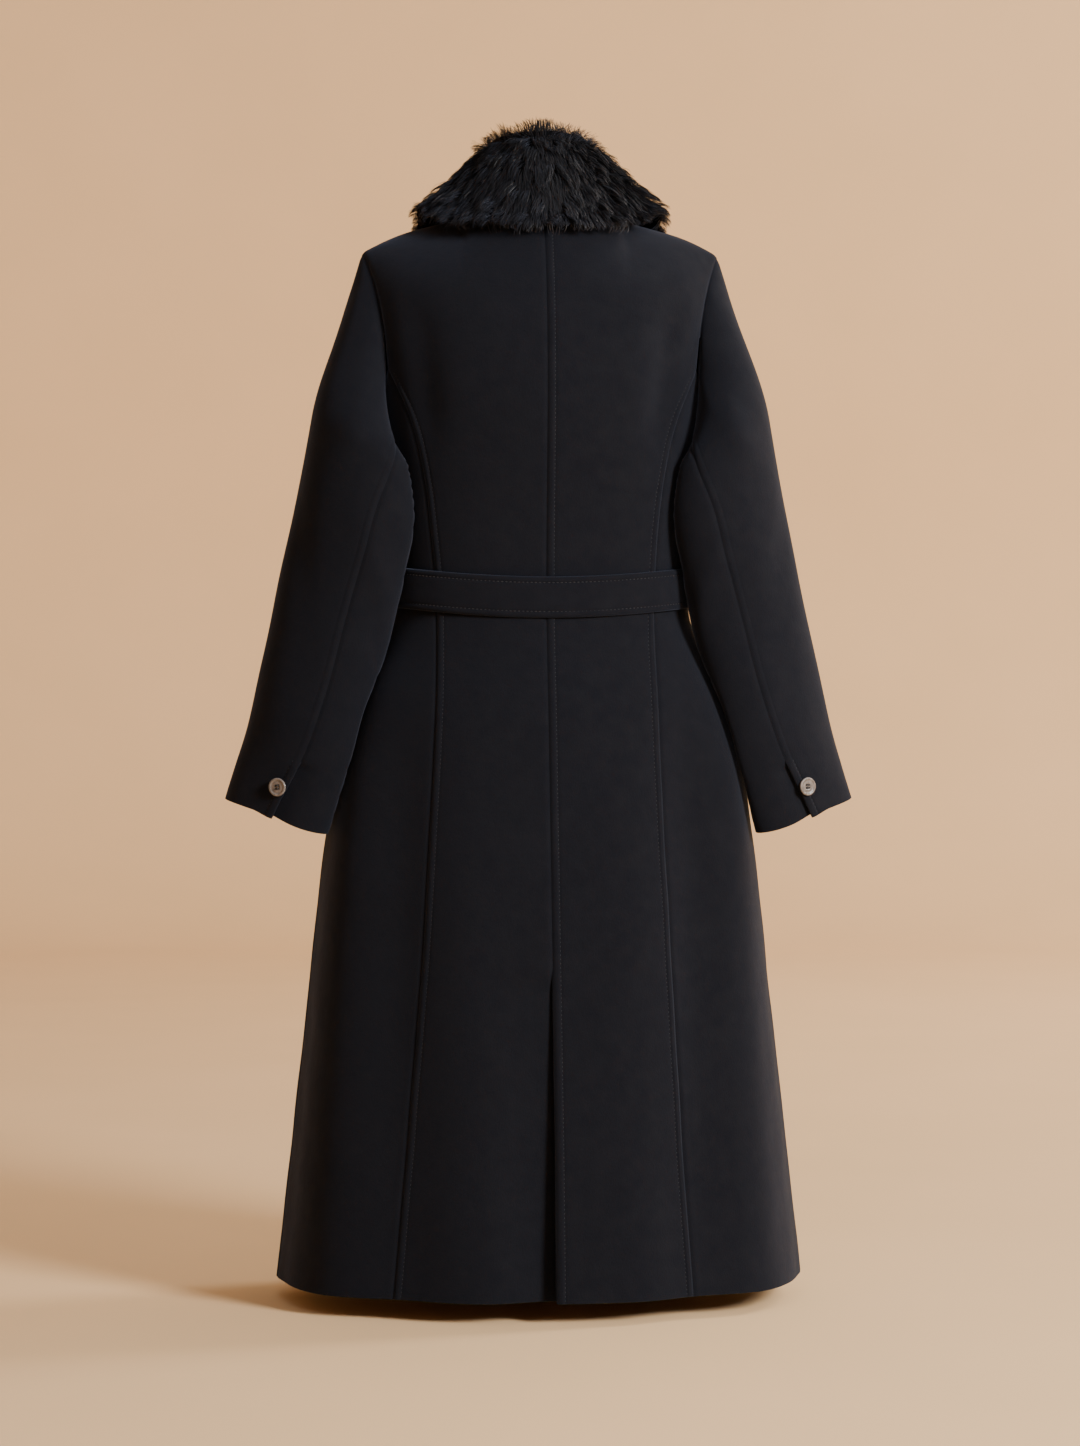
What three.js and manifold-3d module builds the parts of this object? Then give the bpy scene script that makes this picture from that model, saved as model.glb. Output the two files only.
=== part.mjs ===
// A long belted wool coat with a deep fur collar, hollow and filled out as if worn.
// Millimetres, +Z up. The front faces -Y, the back +Y, the wearer's left is +X.
// The origin is midway between the shoulders where the coat hangs, level with the base of the neck.
import * as THREE from 'three';
import Module from 'manifold-3d';
import { mergeVertices } from 'three/addons/utils/BufferGeometryUtils.js';

const wasm = await Module();
wasm.setup();

// Driving sizes
const HEM = -1161;
const CLOTH = 2.4;
const SEAM_GAP = 0.4;
const UNDERARM = -232;
const PRINCESS_TOP = -172;
const NECK = { half: 88, depth: 66, sideZ: -3, backZ: -12, rise: 0.25 };
const TIP = { x: 196, z: -41 };
const SHOULDER_ROUND = 95;
const VENT = { top: -813, slope: 25, underlap: 40, clearance: 3.4, tuck: 13, spread: 75, flare: 3 };
const OVERLAP = { clearance: 3.6, near: 8, far: 38 };
const CENTRE_LEAN = { x: -5, from: -420 };
const SHOULDER_LEVEL = { full: 70, none: 230 };
const FRONT_LEVEL = { rise: -300, follow: -140 };
const BELT = { width: 44, thick: 5, lift: 1, edge: 1.5, sideZ: -407, backDip: 14, frontDip: 8, parts: 44 };
const KNOT = { theta: 176, wide: 30, high: 36, deep: 15, turn: 12, gap: 1, pinch: 0.8 };
const KNOT_FORM = { clear: 1.5, corner: 0.62, waist: 0.12, turns: 20, rings: 12 };
const BELT_END = { thick: 4, widens: 0.35, settles: 0.15, waves: 1.6, rows: 12 };
const BUTTON = { thick: 3.2, holeRadius: 1.1, holeRing: 2.3, stand: 0.9, at: 6.2, column: 2 };
const BUTTON_SIDES = { disc: 20, hole: 6 };

const CLOTH_FINISH = { color: 0x1b1a1e, roughness: 0.95, metalness: 0 };
const FUR_FINISH = { color: 0x17161a, roughness: 0.8, metalness: 0 };
const HORN_FINISH = { color: 0x57514f, roughness: 0.4, metalness: 0 };

const rad = THREE.MathUtils.degToRad;
const lerp = THREE.MathUtils.lerp;
const clamp = THREE.MathUtils.clamp;
const smooth = THREE.MathUtils.smoothstep;

// A table from the names of its columns and its rows.
function table(names, ...rows) {
  const columns = names.split(' ');
  return rows.map((row) => Object.fromEntries(columns.map((name, i) => [name, row[i]])));
}

// A smooth curve through the rows of a table, from one named column to another.
function through(rows, from, to) {
  const sorted = [...rows].sort((a, b) => a[from] - b[from]);
  const xs = sorted.map((row) => row[from]);
  const ys = sorted.map((row) => row[to]);
  const last = xs.length - 1;
  const secant = (i) => (ys[i + 1] - ys[i]) / (xs[i + 1] - xs[i]);
  const slopes = xs.map((x, i) => {
    if (i === 0) return secant(0);
    if (i === last) return secant(last - 1);
    const before = xs[i] - xs[i - 1];
    const after = xs[i + 1] - xs[i];
    return (secant(i - 1) * after + secant(i) * before) / (before + after);
  });
  return (x) => {
    if (x <= xs[0]) return ys[0];
    if (x >= xs[last]) return ys[last];
    let i = 0;
    while (x > xs[i + 1]) i++;
    const h = xs[i + 1] - xs[i];
    const t = (x - xs[i]) / h;
    const s = 1 - t;
    return s * s * (1 + 2 * t) * ys[i] + t * t * (3 - 2 * t) * ys[i + 1]
      + h * (t * s * s * slopes[i] - t * t * s * slopes[i + 1]);
  };
}

// The coat's horizontal sections: half width, depths behind and in front, and corner fullness.
const SECTIONS = [
  { z: 0, half: 205, back: 60, front: 45, full: 0 },
  { z: -12, half: 205, back: 66, front: 54, full: 0 },
  { z: -41, half: 204, back: 81, front: 70, full: 1 },
  { z: -75, half: 197, back: 97, front: 85, full: 3 },
  { z: -110, half: 189, back: 108, front: 100, full: 4 },
  { z: -150, half: 182, back: 115, front: 115, full: 5 },
  { z: -190, half: 177, back: 117, front: 126, full: 5 },
  { z: -232, half: 173, back: 115, front: 134, full: 5 },
  { z: -275, half: 170, back: 110, front: 133, full: 5 },
  { z: -330, half: 166, back: 103, front: 123, full: 4 },
  { z: -385, half: 163, back: 98, front: 114, full: 4 },
  { z: -415, half: 162.5, back: 97, front: 111, full: 3 },
  { z: -442, half: 165, back: 98.5, front: 112, full: 3 },
  { z: -470, half: 175, back: 104, front: 115, full: 3 },
  { z: -530, half: 204, back: 120, front: 124, full: 3 },
  { z: -600, half: 223, back: 131, front: 133, full: 3 },
  { z: -684, half: 236, back: 141, front: 142, full: 3 },
  { z: -838, half: 253.5, back: 156, front: 154, full: 2 },
  { z: -1000, half: 271, back: 171, front: 167, full: 2 },
  { z: -1161, half: 288.5, back: 186, front: 180, full: 2 },
];
const halfWidth = through(SECTIONS, 'z', 'half');
const backDepth = through(SECTIONS, 'z', 'back');
const frontDepth = through(SECTIONS, 'z', 'front');
const fullness = through(SECTIONS, 'z', 'full');

// The shoulder seam's height over the distance from the middle.
const SHOULDER_LINE = [
  { x: 88, z: -3 },
  { x: 120, z: -11 },
  { x: 155, z: -21 },
  { x: 178, z: -31 },
  { x: 196, z: -41 },
  { x: 206, z: -49 },
];
const shoulderZ = through(SHOULDER_LINE, 'x', 'z');

// The back seam from armhole to hem, and how far it leans to the wearer's left.
const PRINCESS = [
  { z: -172, x: 167, lean: 0 },
  { z: -215, x: 148, lean: 0 },
  { z: -270, x: 132, lean: 0 },
  { z: -340, x: 122, lean: 0 },
  { z: -415, x: 117, lean: -1 },
  { z: -531, x: 119, lean: -1 },
  { z: -637, x: 124, lean: 0 },
  { z: -779, x: 132, lean: 1 },
  { z: -974, x: 146, lean: 4 },
  { z: -1161, x: 161, lean: 6 },
];
const princessX = through(PRINCESS, 'z', 'x');
const princessLean = through(PRINCESS, 'z', 'lean');

// The armhole seam's distance from the middle, behind and in front, above its curved foot.
const ARMHOLE = [
  { z: -41, back: 196, front: 196 },
  { z: -80, back: 182, front: 180 },
  { z: -107, back: 175, front: 171 },
  { z: -134, back: 170, front: 165 },
  { z: -172, back: 167, front: 162 },
];
const armholeBack = through(ARMHOLE, 'z', 'back');
const armholeFront = through(ARMHOLE, 'z', 'front');

// The edge of the front that laps over, from the side of the neck to the hem.
const FRONT_EDGE = [
  { z: -3, x: -88 },
  { z: -30, x: -82 },
  { z: -65, x: -70 },
  { z: -105, x: -54 },
  { z: -145, x: -38 },
  { z: -190, x: -18 },
  { z: -235, x: 6 },
  { z: -290, x: 34 },
  { z: -350, x: 56 },
  { z: -415, x: 66 },
  { z: -600, x: 70 },
  { z: -1161, x: 74 },
];
const frontEdgeX = through(FRONT_EDGE, 'z', 'x');

// Soft folds of the skirt. Angles run from the centre back, positive to the wearer's left.
const FOLDS = [
  { waist: 45, hem: 33, width: 9, height: -7, top: -440, full: -760 },
  { waist: -45, hem: -33, width: 9, height: -8, top: -440, full: -700 },
  { waist: 64, hem: 54, width: 11, height: 6, top: -440, full: -700 },
  { waist: -64, hem: -52, width: 10, height: 7, top: -440, full: -640 },
  { waist: 22, hem: 18, width: 9, height: 4, top: -470, full: -900 },
  { waist: -20, hem: -17, width: 9, height: 4, top: -470, full: -900 },
  { waist: 84, hem: 80, width: 9, height: -4, top: -560, full: -1000 },
  { waist: -84, hem: -80, width: 9, height: -4, top: -560, full: -1000 },
  { waist: 112, hem: 108, width: 13, height: 5, top: -450, full: -900 },
  { waist: -108, hem: -104, width: 12, height: 5, top: -450, full: -900 },
  { waist: 138, hem: 136, width: 12, height: -5, top: -450, full: -900 },
  { waist: -134, hem: -131, width: 12, height: -5, top: -450, full: -900 },
  { waist: -158, hem: -155, width: 10, height: 4, top: -450, full: -900 },
  { waist: 46, hem: 46, width: 8, height: -5, top: -70, full: -150, bottom: -300 },
  { waist: -46, hem: -46, width: 8, height: -6, top: -70, full: -150, bottom: -300 },
];

// A fold that ends above the hem fades in over this height.
const FOLD_FADE = 90;

function foldHeight(degrees, z) {
  let height = 0;
  for (const fold of FOLDS) {
    const along = clamp((z - BELT.sideZ) / (HEM - BELT.sideZ), 0, 1);
    const away = (degrees - lerp(fold.waist, fold.hem, along)) / fold.width;
    let strength = 1 - smooth(z, fold.full, fold.top);
    if (fold.bottom) strength *= smooth(z, fold.bottom, fold.bottom + FOLD_FADE);
    height += fold.height * strength * Math.exp(-away * away);
  }
  return height;
}

// How much of the depth is left close under the shoulder line, where the cloth turns over.
function shoulderTurn(x, z, behind) {
  let line;
  let least = 0;
  if (x >= NECK.half) {
    line = shoulderZ(x);
  } else if (behind) {
    const share = x / NECK.half;
    line = NECK.backZ + (NECK.sideZ - NECK.backZ) * share * share;
    const edge = NECK.depth * Math.sqrt(1 - share * share);
    const wide = Math.sqrt(1 - (x / halfWidth(line)) ** 2);
    least = Math.min(1, edge / (backDepth(line) * wide));
  } else {
    line = NECK.sideZ + (NECK.half - x) * NECK.rise;
  }
  const t = clamp((line - z) / SHOULDER_ROUND, 0, 1);
  return least + (1 - least) * Math.sqrt(1 - (1 - t) ** 2);
}

// A point of the coat's outer surface. theta runs from the centre back to the wearer's left.
function bodyPoint(theta, z, lift = 0) {
  const sine = Math.sin(theta);
  const cosine = Math.cos(theta);
  const half = halfWidth(z);
  const behind = cosine >= 0;
  const depth = behind ? backDepth(z) : frontDepth(z);
  const turn = shoulderTurn(Math.abs(half * sine), z, behind);
  const x = half * sine;
  const y = depth * cosine * turn;
  const normal = new THREE.Vector2(sine / half, cosine / depth).normalize();
  const corner = fullness(z) * (1 - Math.cos(4 * theta)) / 2;
  const out = (corner + foldHeight(THREE.MathUtils.radToDeg(theta), z)) * turn + lift;
  return new THREE.Vector3(x + normal.x * out, y + normal.y * out, z);
}

const thetaAt = (x, z) => Math.asin(clamp(x / halfWidth(z), -1, 1));

// Steps round and down the surface that give its normal, and how near the shoulder line counts as on it.
const PROBE = { turn: 0.004, drop: 0.6, on: 0.5, under: 1 };

// The point with its outward normal. lift may be a number or a function of theta and z.
function bodyFrame(theta, z, lift = 0) {
  const raise = typeof lift === 'function' ? lift : () => lift;
  const at = (a, h) => bodyPoint(a, h, raise(a, h));
  const point = at(theta, z);
  const x = Math.abs(halfWidth(z) * Math.sin(theta));
  const below = x < NECK.half ? Infinity : shoulderZ(x) - z;
  if (below < PROBE.on) {
    const slope = (shoulderZ(x + 1) - shoulderZ(x - 1)) / 2;
    const normal = new THREE.Vector3(-slope * Math.sign(theta), 0, 1).normalize();
    return { point, normal };
  }
  const across = at(theta + PROBE.turn, z).sub(at(theta - PROBE.turn, z));
  const rise = below > PROBE.under ? PROBE.drop : 0;
  const down = at(theta, z - PROBE.drop).sub(at(theta, z + rise));
  const normal = across.cross(down).normalize();
  if (normal.x * point.x + normal.y * point.y < 0) normal.negate();
  return { point, normal };
}

// Closed walls

// Moves the four borders of a grid of frames inwards, so that seams stay open.
function openSeams(grid, sides, gap = SEAM_GAP / 2) {
  const last = grid.length - 1;
  const top = grid[0].length - 1;
  const pull = (frame, inner) => {
    const step = inner.point.clone().sub(frame.point).setLength(gap);
    return { point: frame.point.clone().add(step), normal: frame.normal };
  };
  return grid.map((column, i) => column.map((frame, j) => {
    let moved = frame;
    if (i === 0 && sides.includes('first')) moved = pull(moved, grid[1][j]);
    if (i === last && sides.includes('last')) moved = pull(moved, grid[last - 1][j]);
    if (j === 0 && sides.includes('foot')) moved = pull(moved, column[1]);
    if (j === top && sides.includes('top')) moved = pull(moved, column[top - 1]);
    return moved;
  }));
}

// Points that lie on each other become one, and triangles left without width are dropped.
function toGeometry(points, triangles) {
  const positions = new Float32Array(points.flatMap((p) => [p.x, p.y, p.z]));
  const geometry = new THREE.BufferGeometry();
  geometry.setAttribute('position', new THREE.BufferAttribute(positions, 3));
  const known = new Map();
  const first = points.map((p, i) => {
    const key = p.toArray().map((value) => value.toFixed(5)).join();
    if (!known.has(key)) known.set(key, i);
    return known.get(key);
  });
  const whole = triangles.map((corners) => corners.map((i) => first[i]))
    .filter(([a, b, c]) => a !== b && b !== c && c !== a);
  let volume = 0;
  for (const [a, b, c] of whole) {
    volume += points[a].dot(points[b].clone().cross(points[c]));
  }
  const facing = volume < 0 ? whole.map(([a, b, c]) => [a, c, b]) : whole;
  geometry.setIndex(facing.flat());
  geometry.computeVertexNormals();
  return geometry;
}

// A wall of cloth from a grid of frames, columns first, with its thickness inside.
function wallGeometry(grid, thickness = CLOTH) {
  const columns = grid.length;
  const rows = grid[0].length;
  const outer = grid.flat().map((frame) => frame.point);
  const inner = grid.flat().map((frame) => frame.point.clone().addScaledVector(frame.normal, -thickness));
  const points = [...outer, ...inner];
  const at = (i, j) => i * rows + j;
  const under = outer.length;
  const triangles = [];
  const quad = (a, b, c, d) => triangles.push([a, b, c], [a, c, d]);
  for (let i = 0; i < columns - 1; i++) {
    for (let j = 0; j < rows - 1; j++) {
      quad(at(i, j), at(i + 1, j), at(i + 1, j + 1), at(i, j + 1));
      quad(under + at(i, j), under + at(i, j + 1), under + at(i + 1, j + 1), under + at(i + 1, j));
    }
    const top = rows - 1;
    quad(at(i + 1, 0), at(i, 0), under + at(i, 0), under + at(i + 1, 0));
    quad(at(i, top), at(i + 1, top), under + at(i + 1, top), under + at(i, top));
  }
  for (let j = 0; j < rows - 1; j++) {
    const last = columns - 1;
    quad(at(0, j), at(0, j + 1), under + at(0, j + 1), under + at(0, j));
    quad(at(last, j + 1), at(last, j), under + at(last, j), under + at(last, j + 1));
  }
  return toGeometry(points, triangles);
}

// A solid swept through rings of points. Closed ones join up, others get flat ends.
function ringGeometry(rings, closed = false) {
  const count = rings[0].length;
  const points = rings.flat();
  const triangles = [];
  const spans = closed ? rings.length : rings.length - 1;
  for (let k = 0; k < spans; k++) {
    const next = (k + 1) % rings.length;
    for (let i = 0; i < count; i++) {
      const j = (i + 1) % count;
      triangles.push([k * count + i, k * count + j, next * count + j]);
      triangles.push([k * count + i, next * count + j, next * count + i]);
    }
  }
  if (!closed) {
    const end = (rings.length - 1) * count;
    for (let i = 1; i < count - 1; i++) {
      triangles.push([0, i + 1, i]);
      triangles.push([end, end + i, end + i + 1]);
    }
  }
  return toGeometry(points, triangles);
}

const coat = new THREE.Group();

function add(name, geometry, finish = CLOTH_FINISH) {
  const mesh = new THREE.Mesh(geometry, new THREE.MeshStandardMaterial(finish));
  mesh.name = name;
  coat.add(mesh);
  return mesh;
}

// Rows of the panels. Both sides of a seam share their heights.
const VENT_OPEN = VENT.top - VENT.slope;
const BACK_ROWS = [HEM, -1090, -1020, -950, -890, VENT_OPEN, VENT.top, -745, -680, -610, -545, -492, -448,
  -415, -382, -340, -290, -240, -205, PRINCESS_TOP];
const SIDE_SCALE = (UNDERARM - HEM) / (PRINCESS_TOP - HEM);
const SIDE_ROWS = BACK_ROWS.map((z) => HEM + (z - HEM) * SIDE_SCALE);
const UPPER_DROPS = [104, 78, 54, 34, 18, 8, 2.5, 0];
const ARMHOLE_FOOT_ROWS = [-229.5, -222, -209, -192];
const ARMHOLE_ROWS = [TIP.z - PRINCESS_TOP, ...UPPER_DROPS].map((drop) => TIP.z - drop);

// The centre back seam leans a little to the wearer's right, towards the hem.
const centreBackX = (z) => CENTRE_LEAN.x * (1 - smooth(z, HEM, CENTRE_LEAN.from));

// The left half tucks in at the vent, and the right half stands proud over it.
function ventLift(side, x, z) {
  const open = 1 - smooth(z, VENT_OPEN, VENT.top);
  const lower = clamp((VENT.top - z) / (VENT.top - HEM), 0, 1);
  const past = side * (centreBackX(z) - x);
  const near = 1 - smooth(-past, 0, VENT.spread);
  if (side > 0) return -open * near * (VENT.clearance + VENT.tuck * lower);
  return open * near * VENT.flare * lower;
}

const xOf = (theta, z) => halfWidth(z) * Math.sin(theta);

function shoulderLineZ(x) {
  if (x >= NECK.half) return shoulderZ(x);
  return NECK.backZ + (NECK.sideZ - NECK.backZ) * (x / NECK.half) ** 2;
}

const BACK_SHARES = [0, 0.12, 0.24, 0.35, NECK.half / TIP.x, 0.56, 0.68, 0.8, 0.91, 1];

function backCentre(side) {
  const rows = [...BACK_ROWS.slice(0, -1), ...ARMHOLE_ROWS];
  const lift = (theta, z) => ventLift(side, xOf(theta, z), z);
  return BACK_SHARES.map((share) => rows.map((z) => {
    const outer = z < PRINCESS_TOP + 0.1 ? princessX(z) + side * princessLean(z) : armholeBack(z);
    const x = lerp(side * centreBackX(z), outer, share);
    const level = 1 - smooth(TIP.z - z, SHOULDER_LEVEL.full, SHOULDER_LEVEL.none);
    const rise = (shoulderLineZ(Math.abs(x)) - shoulderLineZ(outer)) * level;
    return bodyFrame(side * thetaAt(x, z + rise), z + rise, lift);
  }));
}

// The vent's underlap goes on under the other half. Above the vent it has no width.
function withUnderlap(grid) {
  const lift = (theta, z) => ventLift(1, xOf(theta, z), z);
  const columns = [1, 0.5].map((share) => grid[0].map((frame, j) => {
    const z = BACK_ROWS[j] ?? 0;
    if (z >= VENT_OPEN) return frame;
    return bodyFrame(thetaAt(centreBackX(z) - share * VENT.underlap, z), z, lift);
  }));
  return [...columns, ...grid];
}

// The armhole's curved foot, from where the upper armhole ends to the side seam.
const footZ = (share) => PRINCESS_TOP + (UNDERARM - PRINCESS_TOP) * Math.sin(share * Math.PI / 2);
const SIDE_SHARES = [0, 0.2, 0.4, 0.6, 0.8, 1];

function backSide(side) {
  const lift = (theta, z) => ventLift(side, xOf(theta, z), z);
  return SIDE_SHARES.map((share) => BACK_ROWS.map((backRow) => {
    const z = HEM + (backRow - HEM) * (footZ(share) - HEM) / (PRINCESS_TOP - HEM);
    const inner = thetaAt(princessX(backRow) + side * princessLean(backRow), backRow);
    return bodyFrame(side * lerp(inner, Math.PI / 2, share), z, lift);
  }));
}

// How far round the front the armhole's curved foot has come at a height.
function frontFootTheta(z) {
  const fall = clamp((PRINCESS_TOP - z) / (PRINCESS_TOP - UNDERARM), 0, 1);
  const start = thetaAt(armholeFront(PRINCESS_TOP), PRINCESS_TOP);
  return lerp(start, Math.PI / 2, Math.asin(fall) / (Math.PI / 2));
}

// The left front lies under the right one by this much.
function overlapLift(side, x, z) {
  if (side < 0) return 0;
  const edge = frontEdgeX(z);
  return -OVERLAP.clearance * (1 - smooth(x, edge + OVERLAP.near, edge + OVERLAP.far));
}

const FRONT_SHARES = [0, 0.07, 0.16, 0.26, 0.36, 0.46, 0.56, 0.66, 0.76, 0.85, 0.93, 1];

function front(side) {
  const rows = [...SIDE_ROWS, ...ARMHOLE_FOOT_ROWS, ...ARMHOLE_ROWS];
  const lift = (theta, z) => overlapLift(side, xOf(theta, z), z);
  return FRONT_SHARES.map((share) => rows.map((z) => {
    let outer = Math.PI / 2;
    if (z > UNDERARM) outer = z < PRINCESS_TOP ? frontFootTheta(z) : thetaAt(armholeFront(z), z);
    const outerX = halfWidth(z) * Math.sin(outer);
    const rise = (shoulderLineZ(NECK.half) - TIP.z) * smooth(z, FRONT_LEVEL.rise, TIP.z);
    const theta = lerp(thetaAt(-frontEdgeX(z + rise), z + rise), outer, share);
    const x = halfWidth(z) * Math.sin(theta);
    const straight = z + rise * (1 - share);
    const followed = z + shoulderZ(Math.max(NECK.half, x)) - shoulderZ(outerX);
    const height = lerp(straight, followed, smooth(z, FRONT_LEVEL.follow, TIP.z));
    return bodyFrame(side * (Math.PI - thetaAt(x, height)), height, lift);
  }));
}

// Sleeves

// The sleeve's sections from the upper arm to the cuff: the ends of each, half its depth, and
// how far round from the outer end the elbow seam lies.
const SLEEVE = table('at outerX outerY outerZ innerX innerY innerZ depth seam',
  [0, 243, -4, -222, 142, 68, -285, 53, 150],
  [1, 258, -4, -288, 139, 68, -335, 51, 129],
  [2, 273, -4, -354, 149, 62, -392, 48, 122],
  [3, 288.5, -4, -424, 166, 56, -458, 44, 118],
  [4, 303.5, -4, -492, 184, 58, -527, 41, 117],
  [5, 318, -4, -556, 203, 61, -592, 37, 113],
  [6, 331, -2, -600, 218, 57, -636, 33, 105],
  [7, 343, 0, -638, 232, 50, -674, 29, 95],
);
// The directions in which the cloth leaves the armhole, over how far round it starts.
const CAP_LEAVE = table('round out back',
  [0, 0.25, 0],
  [40, 0.5, 0.22],
  [90, 0.3, 0.36],
  [140, -0.32, 0.4],
  [180, 0.1, 0.1],
  [230, 0.2, -0.22],
  [320, 0.5, -0.18],
  [360, 0.25, 0],
);
const CAP_DROP = -0.8;
const capOut = through(CAP_LEAVE, 'round', 'out');
const capBack = through(CAP_LEAVE, 'round', 'back');
const CAP_REST = { from: 120, to: 215, gap: 0.8 };
const SLEEVE_AXIS = { out: 0.225, down: -0.974 };
const ELBOW_STEP = 3;
const FRONT_SEAM_STEP = 4;
const SLEEVE_STEPS = [0.5, 1, 1.5, 2, 2.5, 3, 3.5, 4, 4.5, 5, 5.4, 5.8, 6.2, 6.6, 7];
const CAP_STEPS = [0, 0.08, 0.2, 0.36, 0.54, 0.76, 1];
const SLEEVE_REST = { gap: 5, belt: 5.5, beltReach: 46, soft: 4 };
const CUFF = { open: 5.4, lift: 1.2, dip: 3.6, spread: 26, underlap: 22, corner: 3 };
const sleeveColumn = (name) => through(SLEEVE, 'at', name);
const sleeveAt = Object.fromEntries(Object.keys(SLEEVE[0]).map((name) => [name, sleeveColumn(name)]));

// Soft folds across the sleeve: where along it, how far round at its middle, and the slant.
const SLEEVE_FOLDS = [
  { at: -0.5, round: 118, slant: -34, width: 16, length: 0.9, height: 4 },
  { at: 2.4, round: 150, slant: 26, width: 15, length: 0.8, height: 3 },
  { at: 3.1, round: 300, slant: 20, width: 20, length: 0.7, height: -4 },
  { at: 2.2, round: 60, slant: 18, width: 18, length: 0.9, height: -2.5 },
];

function sleeveFold(round, at) {
  let height = 0;
  for (const fold of SLEEVE_FOLDS) {
    const along = (at - fold.at) / fold.length;
    const away = (round - fold.round - fold.slant * along) / fold.width;
    height += fold.height * Math.exp(-away * away - along * along);
  }
  return height;
}

// How far the sleeve stays from the body beside it, and from the belt.
function restGap(z) {
  const fromBelt = (z - BELT.sideZ + BELT.backDip / 2) / SLEEVE_REST.beltReach;
  return SLEEVE_REST.gap + SLEEVE_REST.belt * Math.exp(-(fromBelt ** 4));
}

// Moves a point of the sleeve out of the body, to lie beside it with a small clearance.
function besideBody(point, clearance) {
  const half = halfWidth(point.z);
  const depth = point.y >= 0 ? backDepth(point.z) : frontDepth(point.z);
  const theta = Math.atan2(point.x / half, point.y / depth);
  const surface = bodyPoint(theta, point.z);
  const normal = new THREE.Vector3(Math.sin(theta) / half, Math.cos(theta) / depth, 0).normalize();
  const away = point.clone().sub(surface).dot(normal) - clearance;
  const soft = (Math.sqrt(away * away + SLEEVE_REST.soft ** 2) + away) / 2;
  return point.clone().addScaledVector(normal, soft - away);
}

// The armhole's seam as one loop, from the shoulder down the back and up the front.
function armholeLoop(centreGrid, sideGrid, frontGrid) {
  const edge = (grid, i, j, innerI, innerJ) => ({
    point: grid[i][j].point,
    normal: grid[i][j].normal,
    inward: grid[innerI][innerJ].point.clone().sub(grid[i][j].point).normalize(),
  });
  const lastColumn = (grid) => grid.length - 1;
  const upper = ARMHOLE_ROWS.length;
  const back = Array.from({ length: upper }, (_, k) => {
    const i = lastColumn(centreGrid);
    const j = centreGrid[0].length - 1 - k;
    return edge(centreGrid, i, j, i - 1, j);
  });
  const foot = SIDE_SHARES.slice(1).map((_, k) => {
    const top = sideGrid[0].length - 1;
    return edge(sideGrid, k + 1, top, k + 1, top - 1);
  });
  const rising = Array.from({ length: ARMHOLE_FOOT_ROWS.length + upper - 1 }, (_, k) => {
    const i = lastColumn(frontGrid);
    const j = SIDE_ROWS.length + k;
    return edge(frontGrid, i, j, i - 1, j);
  });
  return { frames: [...back, ...foot, ...rising], underarm: back.length + foot.length - 1 };
}

function sleeveGrid(side, loop) {
  const { frames, underarm } = loop;
  const count = frames.length;
  const backSeam = ARMHOLE_ROWS.length - 1 + ELBOW_STEP;
  const frontSeam = underarm + ARMHOLE_FOOT_ROWS.length + FRONT_SEAM_STEP;
  const lengths = [0];
  for (let i = 1; i <= count; i++) {
    lengths.push(lengths[i - 1] + frames[i % count].point.distanceTo(frames[i - 1].point));
  }
  const roundOf = (i, seam) => {
    const share = (from, to) => (lengths[i] - lengths[from]) / (lengths[to] - lengths[from]);
    if (i <= backSeam) return seam * share(0, backSeam);
    if (i <= underarm) return lerp(seam, 180, share(backSeam, underarm));
    return 180 + 180 * share(underarm, count);
  };
  const section = (at, i) => {
    const value = Object.fromEntries(Object.entries(sleeveAt).map(([name, curve]) => [name, curve(at)]));
    const outer = new THREE.Vector3(side * value.outerX, value.outerY, value.outerZ);
    const inner = new THREE.Vector3(side * value.innerX, value.innerY, value.innerZ);
    const middle = outer.clone().add(inner).multiplyScalar(0.5);
    const half = outer.clone().sub(inner).multiplyScalar(0.5);
    const along = new THREE.Vector3(side * SLEEVE_AXIS.out, 0, SLEEVE_AXIS.down);
    const behind = half.clone().cross(along).normalize().multiplyScalar(side);
    const degrees = roundOf(i, value.seam);
    const angle = rad(degrees);
    const fold = sleeveFold(degrees, at);
    const point = middle.clone().addScaledVector(half, Math.cos(angle));
    point.addScaledVector(behind, value.depth * Math.sin(angle));
    const out = point.clone().sub(middle).normalize();
    return besideBody(point.addScaledVector(out, fold), restGap(point.z));
  };
  const points = frames.map((frame, i) => {
    const end = section(0, i);
    const after = section(0.25, i);
    const reach = frame.point.distanceTo(end);
    const round = roundOf(i, SLEEVE[0].seam);
    const leave = new THREE.Vector3(side * capOut(round), capBack(round), CAP_DROP).normalize();
    const arrive = after.sub(end).normalize();
    const cap = CAP_STEPS.map((t) => {
      const s = 1 - t;
      const point = frame.point.clone().multiplyScalar(s * s * (1 + 2 * t));
      point.addScaledVector(end, t * t * (3 - 2 * t));
      point.addScaledVector(leave, t * s * s * reach);
      point.addScaledVector(arrive, -t * t * s * reach);
      if (t === 0) return frame.point.clone();
      const low = smooth(-point.z, CAP_REST.from, CAP_REST.to);
      return point.lerp(besideBody(point, lerp(CAP_REST.gap, SLEEVE_REST.gap, t)), low);
    });
    return [...cap, ...SLEEVE_STEPS.map((at) => section(at, i))];
  });
  const at = (i, j) => points[(i + count) % count][j];
  const last = points[0].length - 1;
  const grid = points.map((column, i) => column.map((point, j) => {
    const across = at(i + 1, j).clone().sub(at(i - 1, j));
    const along = at(i, Math.min(last, j + 1)).clone().sub(at(i, Math.max(0, j - 1)));
    const normal = along.cross(across).normalize().multiplyScalar(side);
    if (j === 0) {
      const { inward } = frames[i];
      normal.addScaledVector(inward, -Math.min(0, normal.dot(inward))).normalize();
    }
    return { point, normal };
  }));
  return { grid, backSeam, frontSeam, count };
}

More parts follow.
